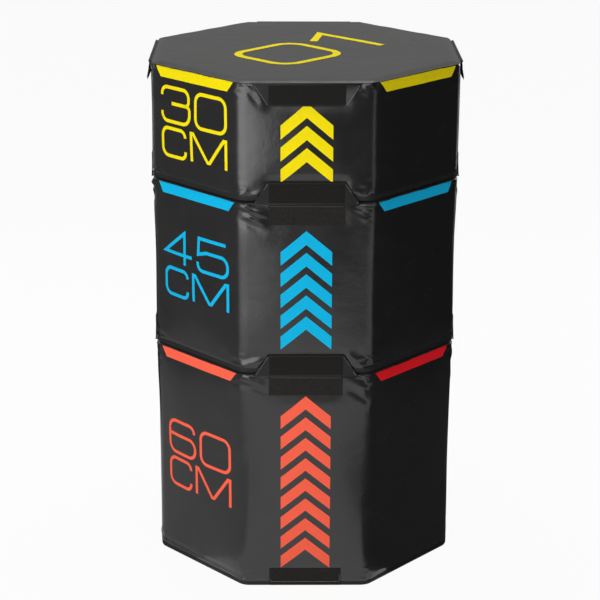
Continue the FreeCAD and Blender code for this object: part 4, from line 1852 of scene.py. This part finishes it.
@dataclass(frozen=True)
class FlagCard:
    """A card round the object that glows and is seen only in reflections: a painted reflection that keeps the
    black covers dark.

    Its middle and size are in metres, and its shade, the strength of its glow, goes from 0, black, to 1, white.
    """

    name: str
    place: tuple[float, float, float]
    stand: Stand
    size: tuple[float, float]
    shade: float

    def build(self) -> None:
        """Put up the card."""
        clear_selection()
        bpy.ops.mesh.primitive_grid_add(x_subdivisions=4, y_subdivisions=4, size=1, location=self.place,
                                        rotation=self.stand.value)
        flag = bpy.context.object
        flag.name = self.name
        flag.scale = (*self.size, 1)
        settled(flag)
        flag.visible_camera = flag.visible_diffuse = flag.visible_shadow = False
        card = bpy.data.materials.new(f"{self.name}_card")
        tree = emptied_tree(card)
        # The card glows at its shade and lights nothing: it only paints a reflection
        painted_reflection_glow = add(tree, "ShaderNodeEmission", {"Strength": self.shade})
        add(tree, "ShaderNodeOutputMaterial", {"Surface": painted_reflection_glow.outputs[0]})
        flag.data.materials.append(card)


LAMPS = (
    Lamp("key", (-1.5, -2.6, 1.2), (0, 0, 0.75), (2.6, 2.6), 60),
    Lamp("front", (0.3, -5.8, 3.2), (0, 0, 0.6), (1.1, 0.8), 24),
    Lamp("back_left", (-2.0, 2.2, 1.9), (0, 0, 0.7), (0.8, 1.6), 14),
    Lamp("back_right", (2.0, 2.2, 1.9), (0, 0, 0.7), (0.8, 1.6), 14),
    Lamp("top", (-0.1, 0.7, 3.3), (-0.1, 0.6, 0.0), (2.6, 1.0), 34),
)
# Glowing cards seen only in reflections, which paint what the covers reflect
FLAGS = (
    FlagCard("left_flag", (-1.7, 0.15, 1.3), Stand.SIDEWAYS, (2.6, 2.4), 0.2),
    FlagCard("left_floor_flag", (-1.2, 0.1, 0.004), Stand.FLAT, (1.8, 2.6), 0.5),
    FlagCard("right_flag", (1.7, -0.1, 1.3), Stand.SIDEWAYS, (2.6, 2.4), 0.02),
    FlagCard("right_floor_flag", (1.48, 0.0, 0.004), Stand.FLAT, (2.5, 2.4), 0.06),
    FlagCard("back_floor_flag", (0, 1.7, 0.006), Stand.FLAT, (4.4, 2.4), 0.02),
    FlagCard("back_flag", (0, 2.6, 0.5), Stand.UPRIGHT, (4.4, 1.0), 0.02),
    FlagCard("lid_flag", (0, 3.2, 3.1), Stand.UPRIGHT, (8.0, 3.8), 0.36),
    FlagCard("front_floor_flag", (-0.4, -4.4, 0.004), Stand.FLAT, (2.6, 2.0), 0.5),
    FlagCard("front_flag", (1.15, -2.6, 0.8), Stand.UPRIGHT, (3.0, 1.6), 0.02),
)


@dataclass(frozen=True)
class Studio:
    """Floor, light and camera. The camera stands as the photograph's did, in millimetres and degrees."""

    camera_place: tuple[float, float, float] = (-53.9, -4451.4, 2248.1)
    pitch: float = 18.04
    yaw: float = -0.48
    roll: float = -0.18
    lens: float = 104.25
    shift_down: float = 50 / 600
    floor_size: float = 40.0
    floor_glow: float = 0.94
    fill: float = 0.26

    def build(self) -> None:
        """Set up floor, world, lamps and camera."""
        self.add_floor()
        self.add_world()
        for piece in (*LAMPS, *FLAGS):
            piece.build()
        self.add_camera()
        bpy.context.scene.view_settings.view_transform = "Standard"

    def add_floor(self) -> None:
        """A pale floor that is white to the camera and keeps the shadow."""
        clear_selection()
        bpy.ops.mesh.primitive_grid_add(x_subdivisions=8, y_subdivisions=8, size=self.floor_size)
        floor = bpy.context.object
        floor.name = "studio_floor"
        paint = bpy.data.materials.new("matt_white_floor_paint")
        tree = emptied_tree(paint)
        place = add(tree, "ShaderNodeTexCoord")
        stipple = add(tree, "ShaderNodeTexNoise", {"Vector": place.outputs["Object"], "Scale": 40.0})
        shade = add(tree, "ShaderNodeMapRange", {"Value": stipple.outputs["Fac"], "To Min": 0.86,
                                                 "To Max": 0.9})
        matt = add(tree, "ShaderNodeBsdfDiffuse", {"Color": shade.outputs["Result"]})
        glow = add(tree, "ShaderNodeEmission", {"Strength": 1.0})
        seen = self.seen_rays(tree)
        share = add(tree, "ShaderNodeMath", {0: seen, 1: self.floor_glow}, operation="MULTIPLY")
        mixed = add(tree, "ShaderNodeMixShader", {"Fac": share.outputs[0], 1: matt.outputs[0],
                                                  2: glow.outputs[0]})
        add(tree, "ShaderNodeOutputMaterial", {"Surface": mixed.outputs[0]})
        floor.data.materials.append(paint)

    def seen_rays(self, tree: NodeTree) -> bpy.types.NodeSocket:
        """1 for rays that show the backdrop: straight to the camera, mirrored or through glass."""
        rays = add(tree, "ShaderNodeLightPath")
        seen = rays.outputs["Is Camera Ray"]
        for kind in ("Is Glossy Ray", "Is Transmission Ray"):
            seen = add(tree, "ShaderNodeMath", {0: seen, 1: rays.outputs[kind]}, operation="MAXIMUM").outputs[0]
        return seen

    def add_world(self) -> None:
        """White where it is seen, a softer grey where it lights."""
        world = bpy.data.worlds.new("studio")
        bpy.context.scene.world = world
        tree = emptied_tree(world)
        white, soft = (add(tree, "ShaderNodeBackground", {"Color": (1, 1, 1, 1), "Strength": strength})
                       for strength in (1.0, self.fill))
        mixed = add(tree, "ShaderNodeMixShader", {"Fac": self.seen_rays(tree), 1: soft.outputs[0],
                                                  2: white.outputs[0]})
        add(tree, "ShaderNodeOutputWorld", {"Surface": mixed.outputs[0]})

    def add_camera(self) -> None:
        """The camera, level with the photograph's."""
        data = bpy.data.cameras.new("camera")
        data.lens = self.lens
        data.shift_y = -self.shift_down
        camera = bpy.data.objects.new("camera", data)
        camera.location = Vector(self.camera_place) * MM
        camera.rotation_euler = (math.radians(90 - self.pitch), math.radians(self.roll), math.radians(self.yaw))
        bpy.context.scene.collection.objects.link(camera)
        bpy.context.scene.camera = camera


BOXES = (
    BoxMarks("tall_box", Ink.RED, "60", "03", 8, 537, 56.4, 399, 100, (
        Crease((-150, 583), (-92, 556), 9, 2.6),
        Crease((-138, 562), (-100, 545), 7, -1.6),
        Crease((104, 560), (158, 522), 9, -3.2),
        Crease((108, 578), (166, 548), 8, 2.4),
        Crease((150, 512), (172, 470), 8, 1.6),
        Crease((-160, 42), (-104, 24), 7, 2.2),
        Crease((-320, 24), (-170, 27), 6, -2.0),
        Crease((165, 17), (320, 16), 6, -2.0),
    ), right_bar=Ink.CRIMSON),
    BoxMarks("middle_box", Ink.BLUE, "45", "02", 5, 375, 55.4, 328, 94, (
        Crease((-170, 441), (-92, 408), 8, 6.0),
        Crease((-160, 428), (-94, 398), 6, -3.4),
        Crease((-150, 414), (-92, 388), 7, 4.5),
        Crease((-166, 404), (-108, 376), 9, -2.4),
        Crease((108, 440), (150, 414), 8, -3.0),
        Crease((116, 424), (152, 398), 8, 1.8),
        Crease((104, 54), (150, 12), 8, 2.6),
        Crease((130, 62), (168, 26), 8, -2.2),
        Crease((-170, 18), (-104, 34), 6, 2.6),
        Crease((-164, 32), (-112, 50), 7, -1.8),
        Crease((300, 292), (450, 332), 16, 1.6),
    )),
    BoxMarks("short_box", Ink.YELLOW, "30", "01", 3, 245, 54.7, 249, 95, (
        Crease((-148, 292), (-104, 250), 7, 2.4),
        Crease((-130, 292), (-96, 240), 6, 1.8),
        Crease((-140, 276), (-112, 236), 7, -1.6),
        Crease((118, 290), (150, 262), 8, -2.0),
        Crease((-190, 12), (-146, 20), 6, 2.6),
        Crease((-150, 10), (-108, 22), 5, 2.4),
        Crease((112, 30), (150, 10), 7, 2.0),
    ), flaps_hang=True),
)


# Where each box's noise starts, so that no two crumple alike
COVER_SEED = 17.3
FLAP_SEED = 5.1
# How far the tip of a loose flap stands off the wall, in millimetres
LOOSE_CURL = 9.0
# How steeply the right corner of the hanging front flap stands off beside its tape
LOOSE_CORNER = 0.35


def main() -> None:
    """Build the boxes from the floor up, then the studio."""
    logging.basicConfig(level=logging.INFO, format="%(message)s")
    for number, marks in enumerate(BOXES):
        places = BoxPlaces.measured(marks.box)
        form = Cover(places, marks, seed=COVER_SEED * (number + 1)).build()
        FoamCore(places).build()
        Strips(places).build(form)
        FlapRoots(places).build()
        above = BOXES[min(number + 1, len(BOXES) - 1)].box
        for face in FLAP_FACES:
            curl, corner = (0.0, LOOSE_CORNER) if face is Face.FRONT else (LOOSE_CURL, 0.0)
            seed = FLAP_SEED * (number + 1) + face.value
            Flap(places, face, marks.flaps_hang, above, seed, curl, corner).build()
        Zip(places).build()
        Prints(places, marks).build(form)
        discard(form)
    PATTERNS.clear()
    Studio().build()


if __name__ == "__main__":
    main()
